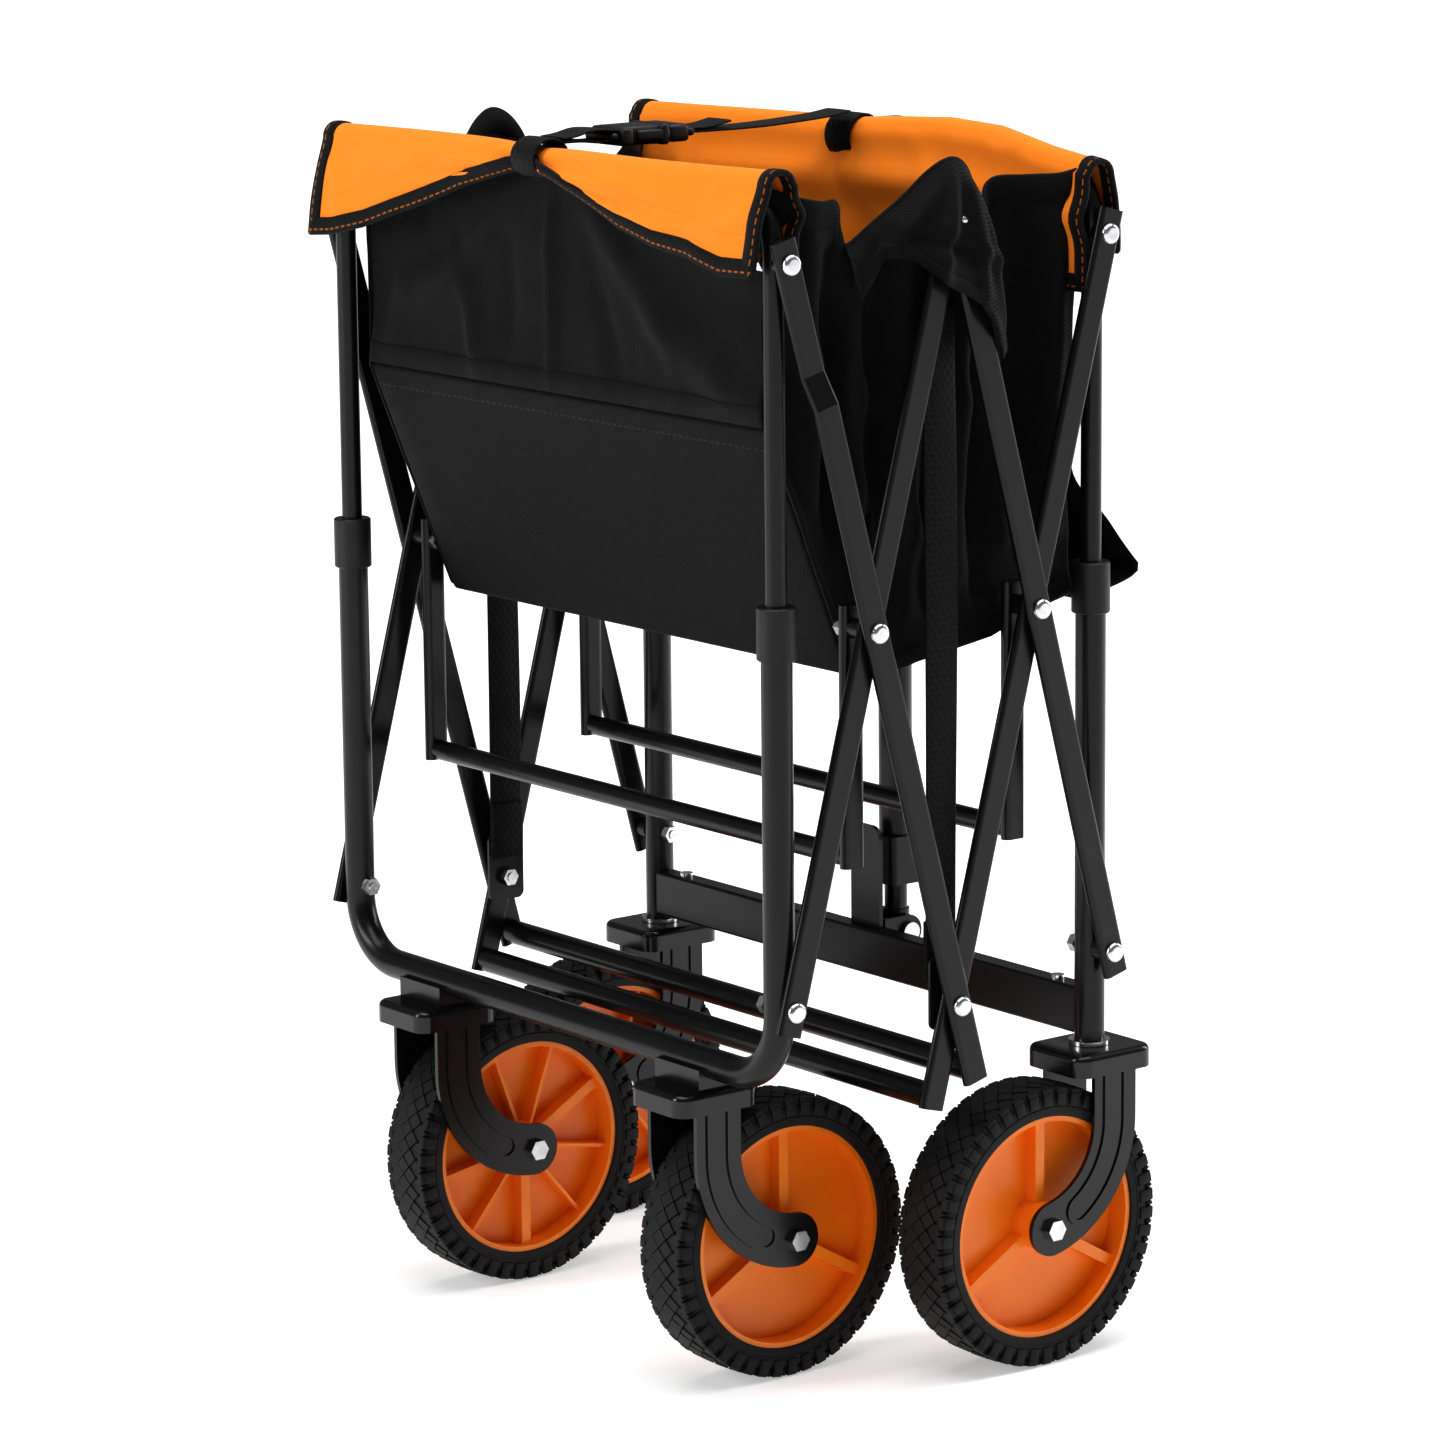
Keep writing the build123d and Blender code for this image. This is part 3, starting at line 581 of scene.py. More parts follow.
def bevelled_block(name: str, centre: Point, size: Point, bevel: float,
                   segments: int = 3) -> bpy.types.Object:
    """Adds a block at its place and size and rounds its edges.

    Args:
        name: Piece name.
        centre: Middle, in metres.
        size: Length along each axis, in metres.
        bevel: Radius of the edges, in metres.
        segments: Faces across each rounded edge.

    Returns:
        The block, with its place in its mesh.
    """
    deselect()
    bpy.ops.mesh.primitive_cube_add(size=1, location=centre)
    block = bpy.context.object
    block.name = name
    bpy.ops.object.mode_set(mode="EDIT")
    bpy.ops.transform.resize(value=size)
    bpy.ops.mesh.bevel(offset=bevel, segments=segments, affect="EDGES")
    bpy.ops.object.mode_set(mode="OBJECT")
    bpy.ops.object.transform_apply(location=True, rotation=True, scale=True)
    return block


def join(name: str, parts: Sequence[bpy.types.Object]) -> bpy.types.Object:
    """Joins parts into one piece.

    Args:
        name: Name of the joined piece.
        parts: What is joined.

    Returns:
        The joined piece.
    """
    deselect()
    for part in parts:
        part.select_set(True)
    bpy.context.view_layer.objects.active = parts[0]
    bpy.ops.object.join()
    parts[0].name = name
    return parts[0]


def smooth(obj: bpy.types.Object, angle: float = 35.0) -> None:
    """Shades an object smooth where its faces meet at less than an angle.

    Args:
        obj: The piece.
        angle: The angle in degrees.
    """
    activate(obj)
    bpy.ops.object.shade_smooth_by_angle(angle=math.radians(angle))


def lengths(points: np.ndarray) -> np.ndarray:
    """Distance along a run of points.

    Args:
        points: The run, one row a point.

    Returns:
        Distance of each point from the first.
    """
    steps = np.linalg.norm(np.diff(points, axis=0), axis=1)
    return np.concatenate([[0.0], np.cumsum(steps)])


def lattice(name: str, grid: np.ndarray, thick: float) -> bpy.types.Object:
    """Makes a sheet of cloth from a lattice of places, with its own flat map in metres.

    Args:
        name: Piece name.
        grid: Rows by columns by three, in millimetres from the middle of the end frames.
        thick: Cloth thickness in metres; the sheet grows both ways.

    Returns:
        The sheet, its first column on the map's lower edge.
    """
    rows, columns = grid.shape[:2]
    points = grid.reshape(-1, 3) / 1000 + np.array([MIDDLE_X, 0.0, 0.0])
    faces = [(r * columns + c, (r + 1) * columns + c, (r + 1) * columns + c + 1, r * columns + c + 1)
             for r in range(rows - 1) for c in range(columns - 1)]
    mesh = bpy.data.meshes.new(name)
    mesh.from_pydata([tuple(p) for p in points], [], faces)
    along = lengths(grid.mean(axis=1)) / 1000
    up = np.array([lengths(grid[r]) for r in range(rows)]) / 1000
    layer = mesh.uv_layers.new(name="flat")
    for loop in mesh.loops:
        r, c = divmod(loop.vertex_index, columns)
        layer.data[loop.index].uv = (along[r], up[r, c])
    mesh.polygons.foreach_set("use_smooth", [True] * len(mesh.polygons))
    piece = bpy.data.objects.new(name, mesh)
    bpy.context.collection.objects.link(piece)
    solid = piece.modifiers.new("thickness", "SOLIDIFY")
    solid.thickness = thick
    solid.offset = 0.0
    apply_all(piece)
    return piece


def ribbon(name: str, path: np.ndarray, across: np.ndarray, width: float, thick: float) -> bpy.types.Object:
    """Makes a flat woven strip along a path.

    Args:
        name: Piece name.
        path: Points of one edge of the strip, in millimetres.
        across: Direction across the strip at each point.
        width: Width in millimetres.
        thick: Thickness in millimetres.

    Returns:
        The strip, its map running along it and across it in metres.
    """
    section = [(0.0, 0.0), (0.05, 0.45), (0.5, 0.5), (0.95, 0.45), (1.0, 0.0), (0.95, -0.45), (0.5, -0.5),
               (0.05, -0.45)]
    across = across / np.linalg.norm(across, axis=1)[:, None]
    tangent = np.gradient(path, axis=0)
    tangent /= np.linalg.norm(tangent, axis=1)[:, None]
    normal = np.cross(tangent, across)
    normal /= np.linalg.norm(normal, axis=1)[:, None]
    points = [path[i] + across[i] * a * width + normal[i] * b * thick
              for i in range(len(path)) for a, b in section]
    points = np.array(points) / 1000 + np.array([MIDDLE_X, 0.0, 0.0])
    k = len(section)
    faces = [(i * k + j, i * k + (j + 1) % k, (i + 1) * k + (j + 1) % k, (i + 1) * k + j)
             for i in range(len(path) - 1) for j in range(k)]
    faces += [tuple(range(k))[::-1], tuple((len(path) - 1) * k + j for j in range(k))]
    mesh = bpy.data.meshes.new(name)
    mesh.from_pydata([tuple(p) for p in points], [], faces)
    run = lengths(path) / 1000
    layer = mesh.uv_layers.new(name="flat")
    for loop in mesh.loops:
        i, j = divmod(loop.vertex_index, k)
        layer.data[loop.index].uv = (run[i], section[j][0] * width / 1000)
    mesh.polygons.foreach_set("use_smooth", [True] * len(mesh.polygons))
    piece = bpy.data.objects.new(name, mesh)
    bpy.context.collection.objects.link(piece)
    outward(piece)
    return piece


def bent_line(knots: Sequence[Sequence[float]], count: int) -> np.ndarray:
    """Smooth line through a few knots, at even steps.

    Args:
        knots: Places that the line goes through.
        count: Number of points on the line.

    Returns:
        The points.
    """
    k = np.array(knots, float)
    k = np.vstack([2 * k[0] - k[1], k, 2 * k[-1] - k[-2]])
    fine = []
    for a, b, c, d in zip(k, k[1:], k[2:], k[3:]):
        for t in np.linspace(0, 1, 24, endpoint=False):
            bend = 2 * a - 5 * b + 4 * c - d
            twist = 3 * b - a - 3 * c + d
            fine.append(0.5 * (2 * b + (c - a) * t + bend * t**2 + twist * t**3))
    fine = np.array(fine + [k[-2]])
    run = lengths(fine)
    wanted = np.linspace(0, run[-1], count)
    return np.stack([np.interp(wanted, run, fine[:, i]) for i in range(fine.shape[1])], axis=1)


def ease(value: np.ndarray | float, low: float, high: float) -> np.ndarray | float:
    """Goes smoothly from 0 to 1 between two values.

    Args:
        value: What is tested.
        low: Where it leaves 0.
        high: Where it reaches 1.

    Returns:
        Share from 0 to 1.
    """
    t = np.clip((value - low) / (high - low), 0.0, 1.0)
    return t * t * (3 - 2 * t)


@dataclass(frozen=True)
class Fold:
    """A fold in cloth: a soft ridge along a line.

    Attributes:
        start: Where it starts, in the sheet's two long directions.
        end: Where it ends.
        width: Half width.
        height: How far it stands out; below 0 it is a valley.
    """

    start: tuple[float, float]
    end: tuple[float, float]
    width: float
    height: float

    def rise(self, a: np.ndarray, b: np.ndarray) -> np.ndarray:
        """Height of the fold at places on the sheet.

        Args:
            a: First coordinate.
            b: Second coordinate.

        Returns:
            The height at each place.
        """
        ax, bx = self.start
        dx, dy = self.end[0] - ax, self.end[1] - bx
        share = np.clip(((a - ax) * dx + (b - bx) * dy) / (dx * dx + dy * dy), 0, 1)
        off = np.hypot(a - ax - share * dx, b - bx - share * dy)
        fade = 0.35 + 0.65 * np.sin(math.pi * (0.12 + 0.76 * share))
        return self.height * np.exp(-((off / self.width) ** 2)) * fade


def crumple(a: np.ndarray, b: np.ndarray, folds: Iterable[Fold], seed: float, soft: float) -> np.ndarray:
    """Adds up folds and a gentle unevenness.

    Args:
        a: First coordinate of each place.
        b: Second coordinate of each place.
        folds: The folds.
        seed: Moves the unevenness, so sheets differ.
        soft: Height of the unevenness.

    Returns:
        How far each place stands out, in millimetres.
    """
    total = np.zeros_like(a)
    for fold in folds:
        total += fold.rise(a, b)
    rough = [noise.noise(Vector((x / 45 + seed, y / 45, seed))) + 0.5 * noise.noise(Vector((x / 17,
                                                                                            y / 20,
                                                                                            seed + 3)))
             for x, y in zip(a.ravel(), b.ravel())]
    return total + soft * np.array(rough).reshape(a.shape)


# ---------------------------------------------------------------- studio


@dataclass
class Studio:
    """Camera, floor and soft lights.

    Attributes:
        eye: Where the camera stands.
        target: What it looks at.
        roll: Turn about its own line of sight, in degrees.
        lens: Focal length in millimetres on a 36 mm sensor.
    """

    eye: Point = (-2166.8, -2791.0, 1079.3)
    target: Point = (0.27, -9.07, 382.99)
    roll: float = -0.55
    lens: float = 141.29

    def build(self) -> None:
        """Adds the camera, the floor and the lights."""
        bpy.context.scene.view_settings.view_transform = "Standard"
        bpy.context.scene.view_settings.look = "Medium High Contrast"
        self.camera()
        self.floor()
        self.lights()

    def camera(self) -> None:
        """Adds the camera."""
        data = bpy.data.cameras.new("camera")
        data.lens, data.sensor_width = self.lens, 36.0
        data.clip_start, data.clip_end = 0.1, 100.0
        camera = bpy.data.objects.new("camera", data)
        bpy.context.collection.objects.link(camera)
        eye, target = Vector(mm(*self.eye)), Vector(mm(*self.target))
        turn = (eye - target).to_track_quat("Z", "Y").to_matrix().to_4x4()
        lean = Matrix.Rotation(math.radians(self.roll), 4, "Z")
        camera.matrix_world = Matrix.Translation(eye) @ turn @ lean
        bpy.context.scene.camera = camera

    def floor(self) -> None:
        """Adds the pale floor and the pale surroundings."""
        deselect()
        bpy.ops.mesh.primitive_plane_add(size=80, location=(0, 0, 0))
        floor = bpy.context.object
        floor.name = "floor"
        material = bpy.data.materials.new("pale_floor")
        material.use_nodes = True
        material.node_tree.nodes.clear()
        g = Graph(material.node_tree)
        place = g.add("ShaderNodeTexCoord").outputs["Object"]
        far = g.add("ShaderNodeVectorMath", {0: place}, operation="LENGTH").outputs["Value"]
        glow = g.add("ShaderNodeMapRange", {0: far, 1: 0.5, 2: 4.0, 3: 0.34, 4: 0.92}).outputs[0]
        shader = g.add("ShaderNodeBsdfPrincipled", {
            "Base Color": (0.9, 0.9, 0.9, 1), "Roughness": 0.8, "Specular IOR Level": 0.1,
            "Emission Color": (1, 1, 1, 1), "Emission Strength": glow})
        g.add("ShaderNodeOutputMaterial", {0: shader.outputs[0]})
        floor.data.materials.append(material)
        world = bpy.data.worlds.new("pale_room")
        bpy.context.scene.world = world
        world.use_nodes = True
        g = Graph(world.node_tree)
        world.node_tree.nodes.clear()
        seen = g.add("ShaderNodeLightPath").outputs["Is Camera Ray"]
        strength = g.math("MULTIPLY_ADD", seen, 0.85, 0.16)
        sky = g.add("ShaderNodeBackground", {"Color": (1, 1, 1, 1), "Strength": strength})
        g.add("ShaderNodeOutputWorld", {0: sky.outputs[0]})

    def lights(self) -> None:
        """Adds large soft lights: above, left of the camera, and right of it."""
        self.panel("top_light", (0.0, -0.2, 2.7), (0.0, 0.0, 0.3), 3.2, 2.4, 66.0)
        self.panel("left_light", (-2.9, 0.9, 1.5), (0.0, 0.0, 0.45), 0.8, 2.0, 40.0)
        self.panel("right_light", (2.9, -0.9, 1.5), (0.0, 0.0, 0.4), 0.8, 1.9, 34.0)

    @staticmethod
    def panel(name: str, place: Point, aim: Point, wide: float, high: float, power: float) -> None:
        """Adds one rectangular light.

        Args:
            name: Light name.
            place: Where it stands, in metres.
            aim: What it shines at.
            wide: Width in metres.
            high: Height in metres.
            power: Power in watts.
        """
        data = bpy.data.lights.new(name, "AREA")
        data.shape, data.size, data.size_y, data.energy = "RECTANGLE", wide, high, power
        lamp = bpy.data.objects.new(name, data)
        lamp.location = place
        lamp.rotation_euler = (Vector(place) - Vector(aim)).to_track_quat("Z", "Y").to_euler()
        bpy.context.collection.objects.link(lamp)


# ---------------------------------------------------------------- metal and plastic from the frame


@dataclass
class Metalwork:
    """The tubes, bars, forks, fasteners and mouldings that keep their own shape.

    Attributes:
        finishes: The wagon's finishes.
    """

    finishes: Finishes

    def build(self) -> None:
        """Dresses each node that is kept."""
        f = self.finishes
        rules = ((("sleeves", "collar", "grip"), f.plastic), (("bolts", "axle", "bearings"), f.zinc),
                 (("fork",), f.pressed), (("rim",), f.rim),
                 (("tube", "bars", "cross", "support", "handle", "plates"), f.paint))
        for name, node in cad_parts.items():
            found = [finish for words, finish in rules if any(word in name for word in words)]
            if not found:
                continue
            for index in range(max(1, len(node.data.materials))):
                if index < len(node.data.materials):
                    node.data.materials[index] = found[0][0]
                else:
                    node.data.materials.append(found[0][0])
            log.info("dressed %s", name)


# ---------------------------------------------------------------- tyres


@dataclass
class Tyre:
    """A solid rubber tyre with a diamond tread.

    Attributes:
        end: Front or rear wheel.
        side: Left or right wheel.
        finish: The rubber.
        rim_radius: Radius of the seat on the rim, in metres.
        carcass_radius: Radius at the bottom of the tread.
        radius: Radius over the lugs.
        width: Width of the tyre.
        pitches: Lugs round the tyre.
    """

    end: End
    side: Side
    finish: tuple[bpy.types.Material, str]
    rim_radius: float = 0.0702
    carcass_radius: float = 0.0868
    radius: float = 0.0890
    width: float = 0.0400
    pitches: int = 46

    def build(self) -> bpy.types.Object:
        """Makes the tyre and puts it on its wheel.

        Returns:
            The tyre.
        """
        node = f"tyre_{self.end.word}_{self.side.word}"
        tyre = join(node + "_tread", [self.carcass(), self.tread(), self.bead(1), self.bead(-1)])
        low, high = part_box(node)
        tyre.data.transform(Matrix.Translation((low + high) / 2))
        smooth(tyre, 40)
        dress(tyre, self.finish)
        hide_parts(node)
        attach(tyre, f"wheel_{self.end.word}_{self.side.word}")
        log.info("made %s", tyre.name)
        return tyre

    def carcass(self) -> bpy.types.Object:
        """Spins the tyre's section round the axle.

        Returns:
            The tyre without its lugs.
        """
        middle = (self.rim_radius + self.carcass_radius) / 2
        deselect()
        bpy.ops.mesh.primitive_plane_add(size=1, location=(middle, 0, 0))
        body = bpy.context.object
        bpy.ops.object.transform_apply(location=True)
        bpy.ops.object.mode_set(mode="EDIT")
        bpy.ops.transform.resize(value=(self.carcass_radius - self.rim_radius, self.width - 0.002, 1),
                                 center_override=(middle, 0, 0))
        select_where(body, "VERT", lambda v: v.co.x > middle)
        bpy.ops.mesh.bevel(offset=0.0075, segments=5, affect="VERTICES")
        select_where(body, "VERT", lambda v: v.co.x < middle)
        bpy.ops.mesh.bevel(offset=0.0015, segments=2, affect="VERTICES")
        bpy.ops.mesh.select_all(action="SELECT")
        bpy.ops.mesh.delete(type="ONLY_FACE")
        bpy.ops.mesh.select_all(action="SELECT")
        bpy.ops.mesh.spin(steps=96, angle=math.tau, center=(0, 0, 0), axis=(0, 1, 0))
        bpy.ops.object.mode_set(mode="OBJECT")
        outward(body)
        return body

    def bead(self, way: int) -> bpy.types.Object:
        """Adds the raised ring on a sidewall.

        Args:
            way: Which sidewall, by the sign of Y.

        Returns:
            The ring.
        """
        deselect()
        bpy.ops.mesh.primitive_torus_add(location=(0, way * (self.width / 2 - 0.0011), 0),
                                         rotation=(math.pi / 2, 0, 0),
                                         major_segments=96, minor_segments=8,
                                         major_radius=self.rim_radius + 0.0058,
                                         minor_radius=0.0008)
        ring = bpy.context.object
        bpy.ops.object.transform_apply(location=True, rotation=True)
        return ring

    def lug(self, across: float, turn: float) -> bpy.types.Object:
        """Models one diamond lug of the tread.

        Args:
            across: Place across the tread, in metres.
            turn: Place round the tyre, in pitches.

        Returns:
            The lug.
        """
        deselect()
        bpy.ops.mesh.primitive_cylinder_add(vertices=4, radius=0.0061, depth=0.0042, location=(0, 0, 0),
                                            rotation=(0, math.pi / 2, 0))
        lug = bpy.context.object
        bpy.ops.object.transform_apply(rotation=True)
        bpy.ops.object.mode_set(mode="EDIT")
        bpy.ops.mesh.select_all(action="SELECT")
        bpy.ops.transform.resize(value=(1, 1.02, 0.9))
        select_where(lug, "FACE", lambda f: f.normal.x > 0.9)
        bpy.ops.mesh.inset(thickness=0.0006, depth=0.0)
        bpy.ops.mesh.select_all(action="SELECT")
        bpy.ops.object.mode_set(mode="OBJECT")
        drop = 0.0010 * (abs(across) / 0.0125) ** 2
        lug.data.transform(Matrix.Translation((self.radius - 0.0021 - drop, across, 0)))
        lug.data.transform(Matrix.Rotation(-turn * math.tau / self.pitches, 4, "Y"))
        return lug

    def shoulder(self, way: int, turn: float) -> bpy.types.Object:
        """Models one shoulder lug, which wraps down on to the sidewall.

        Args:
            way: Which shoulder, by the sign of Y.
            turn: Place round the tyre, in pitches.

        Returns:
            The lug.
        """
        half = self.width / 2
        top = bevelled_block("lug_top", (self.radius - 0.0030, way * (half - 0.0030), 0),
                             (0.0046, 0.0050, 0.0078),
                             0.0009, 2)
        flank = bevelled_block("lug_flank", (self.radius - 0.0074, way * (half - 0.0010), 0),
                               (0.0085, 0.0026, 0.0072), 0.0008, 2)
        lug = join("lug", [top, flank])
        lug.data.transform(Matrix.Rotation(-turn * math.tau / self.pitches, 4, "Y"))
        return lug

    def tread(self) -> bpy.types.Object:
        """Models one pitch of the tread and repeats it round the tyre.

        Returns:
            All the lugs.
        """
        pitch = join("pitch", [self.lug(0.0, 0.0), self.lug(0.0066, 0.5), self.lug(-0.0066, 0.5),
                               self.lug(0.0131, 0.0),
                               self.lug(-0.0131, 0.0), self.shoulder(1, 0.5), self.shoulder(-1, 0.5)])
        turn = bpy.data.objects.new("turn", None)
        bpy.context.collection.objects.link(turn)
        turn.rotation_euler = (0, math.tau / self.pitches, 0)
        bpy.context.view_layer.update()
        repeat = pitch.modifiers.new("repeat", "ARRAY")
        repeat.count, repeat.use_relative_offset = self.pitches, False
        repeat.use_object_offset, repeat.offset_object = True, turn
        apply_all(pitch)
        bpy.data.objects.remove(turn)
        return pitch


# ---------------------------------------------------------------- end flaps and end walls


@dataclass
class EndFlap:
    """Orange cloth folded over an end rail, bound in black.

    Attributes:
        end: Front or rear.
        finishes: The wagon's finishes.
        half_width: Half the flap's width, in millimetres.
        top: Height of the fold.
        radius: Radius of the fold over the rail.
        inner_low: Height of the front flap's inner edge; the rear flap's is hidden behind its outer edge.
        hang_steps: Places down each hanging side.
        over_steps: Places round the fold.
        binding_width: Width of the black binding.
        binding_thick: Thickness of the folded binding.
        binding_overhang: How far the binding stands past the cut edge.
        cloth_thick: Thickness of the cloth, in metres.
    """

    end: End
    finishes: Finishes
    half_width: float = 228.0
    top: float = 755.5
    radius: float = 9.0
    inner_low: float = 668.0
    hang_steps: int = 18
    over_steps: int = 10
    binding_width: float = 11.5
    binding_thick: float = 3.6
    binding_overhang: float = 1.5
    cloth_thick: float = 0.0011

    def low_line(self, y: np.ndarray) -> np.ndarray:
        """Height of the outer edge along the flap.

        Args:
            y: Places across the wagon.

        Returns:
            Height at each place.
        """
        if self.end is End.REAR:
            knots_y = (-228, -196, -163, -124, -85, -45, -12, 8, 26, 50, 79, 112, 145, 173, 205, 228)
            knots_z = (697, 696, 703, 706, 714, 729, 739, 741, 740, 734, 726, 714, 704, 695, 688, 686)
        else:
            knots_y = (-228, -180, -110, -50, 8, 60, 120, 180, 228)
            knots_z = (690, 689, 692, 697, 702, 698, 693, 690, 689)
        return np.interp(y, knots_y, knots_z)

    def ridge(self, y: np.ndarray) -> np.ndarray:
        """Height of the fold along the flap.

        Args:
            y: Places across the wagon.

        Returns:
            Height at each place.
        """
        if self.end is End.REAR:
            return self.top - 1.5 * np.exp(-(((y - 8) / 26) ** 2)) + np.sin(y / 60)
        knots_y = (-228, -182, -136, -88, -30, 8, 61, 166, 228)
        knots_z = (746, 752, 761, 763, 760, 757, 757, 755, 754)
        return np.interp(y, knots_y, knots_z)

    def lattice_points(self) -> np.ndarray:
        """Lays out the flap from its outer edge, over the rail, to its inner edge.

        Returns:
            Rows across the wagon by columns over the rail.
        """
        out = self.end.value
        rail = self.end.rail_x
        y = np.linspace(self.half_width, -self.half_width, 150)
        low, ridge = self.low_line(y), self.ridge(y)
        rear = self.end is End.REAR
        cinch_depth, cinch_width, flare_depth = (1.0, 34, 13.0) if rear else (0.35, 30, 5.0)
        hang, over_count = self.hang_steps, self.over_steps
        rows = []
        for place, z0, z1 in zip(y, low, ridge):
            cinch = cinch_depth * math.exp(-(((place - 8) / cinch_width) ** 2))
            flare = flare_depth * ease(abs(place), 60, 225)
            r = self.radius - cinch
            side = np.linspace(0, 1, hang)
            spring = z1 - r
            outer_x = r + flare * (1 - side) ** 1.2 + 2.5 * np.sin(math.pi * side) * (1 - cinch)
            outer = np.stack([rail + out * outer_x, np.full(hang, place), z0 + (spring - z0) * side],
                             axis=1)
            turn = np.linspace(0, math.pi, over_count + 2)[1:-1]
            over_x = rail + out * r * np.cos(turn)
            over = np.stack([over_x, np.full(over_count, place), spring + r * np.sin(turn)], axis=1)
            inner_low = min(z0 + 5.0, spring - 2.0) if rear else self.inner_low
            inner_x = r + 1.5 + 5.5 * np.exp(-(((side - 0.62) / 0.16) ** 2))
            inner_z = inner_low + (spring - inner_low) * side
            inner = np.stack([rail - out * inner_x, np.full(hang, place), inner_z], axis=1)
            rows.append(np.vstack([outer, over, inner[::-1]]))
        grid = np.array(rows)
        columns = grid.shape[1]
        a = grid[:, :, 1]
        b = np.tile(np.arange(columns), (len(y), 1)) * 4.0
        push = crumple(a, b, self.folds(), 4.0 + out, 0.9)
        face = np.repeat([out, 0.3 * out, -out], [hang, over_count, hang])
        grid[:, :, 0] += push * face[None, :]
        return grid

    def folds(self) -> list[Fold]:
        """The soft folds in the flap, in millimetres across and column steps of 4.

        Returns:
            The folds.
        """
        if self.end is End.REAR:
            return [Fold((20, 30), (90, 56), 9, 3.4), Fold((24, 18), (120, 30), 8, 2.2),
                    Fold((-6, 30), (-90, 50), 10, 3.8),
                    Fold((-10, 20), (-130, 24), 9, 3.0), Fold((-40, 62), (-150, 50), 12, 2.2),
                    Fold((60, 64), (170, 60), 14, 1.6), Fold((190, 8), (214, 50), 9, 2.0),
                    Fold((-170, 14), (-214, 46), 10, 2.6)]
        return [Fold((140, 136), (0, 132), 7, 3.0), Fold((0, 132), (-180, 140), 7, 3.2),
                Fold((20, 110), (8, 150), 9, -2.4),
                Fold((-60, 112), (-95, 140), 8, 2.0), Fold((-140, 104), (-150, 140), 7, 1.8),
                Fold((-20, 150), (-60, 172), 9, 2.4), Fold((60, 148), (90, 175), 9, 2.2)]

    def build(self) -> None:
        """Makes the flap with its bindings and its webbing loop."""
        grid = self.lattice_points()
        body = f"{self.end.word}_upper_frame"
        cloth = dress(lattice(f"{self.end.word}_flap_cloth", grid, self.cloth_thick), self.finishes.orange)
        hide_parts(f"{self.end.word}_flap")
        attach(cloth, body)
        edges = {"outer": (grid[:, 0], grid[:, 3] - grid[:, 0]),
                 "inner": (grid[:, -1], grid[:, -4] - grid[:, -1]),
                 "left": (grid[0], grid[4] - grid[0]), "right": (grid[-1], grid[-5] - grid[-1])}
        for name, (path, across) in edges.items():
            unit = across / np.linalg.norm(across, axis=1)[:, None]
            line = path - unit * self.binding_overhang
            strip = ribbon(f"{self.end.word}_flap_binding_{name}", line, across, self.binding_width,
                           self.binding_thick)
            dress(strip, self.finishes.binding)
            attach(strip, body)
        self.loop(body)
        log.info("made the %s flap", self.end.word)

    def loop(self, body: str) -> None:
        """Makes the webbing loop that gathers the flap.

        Args:
            body: The body it rides on.
        """
        low = 737.0 if self.end is End.REAR else 732.0
        reach = 13.5
        rail = self.end.rail_x
        knots = [(rail + reach * math.cos(t), 0.0, (low + 760) / 2 + (760 - low) / 2 * math.sin(t))
                 for t in np.linspace(0, math.tau, 25)]
        path = np.array(knots) + np.array([0.0, -4.5, 0.0])
        across = np.tile(np.array([0.0, 1.0, 0.0]), (len(path), 1))
        loop = dress(ribbon(f"{self.end.word}_strap_loop", path, across, 25.0, 1.8), self.finishes.webbing)
        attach(loop, body)


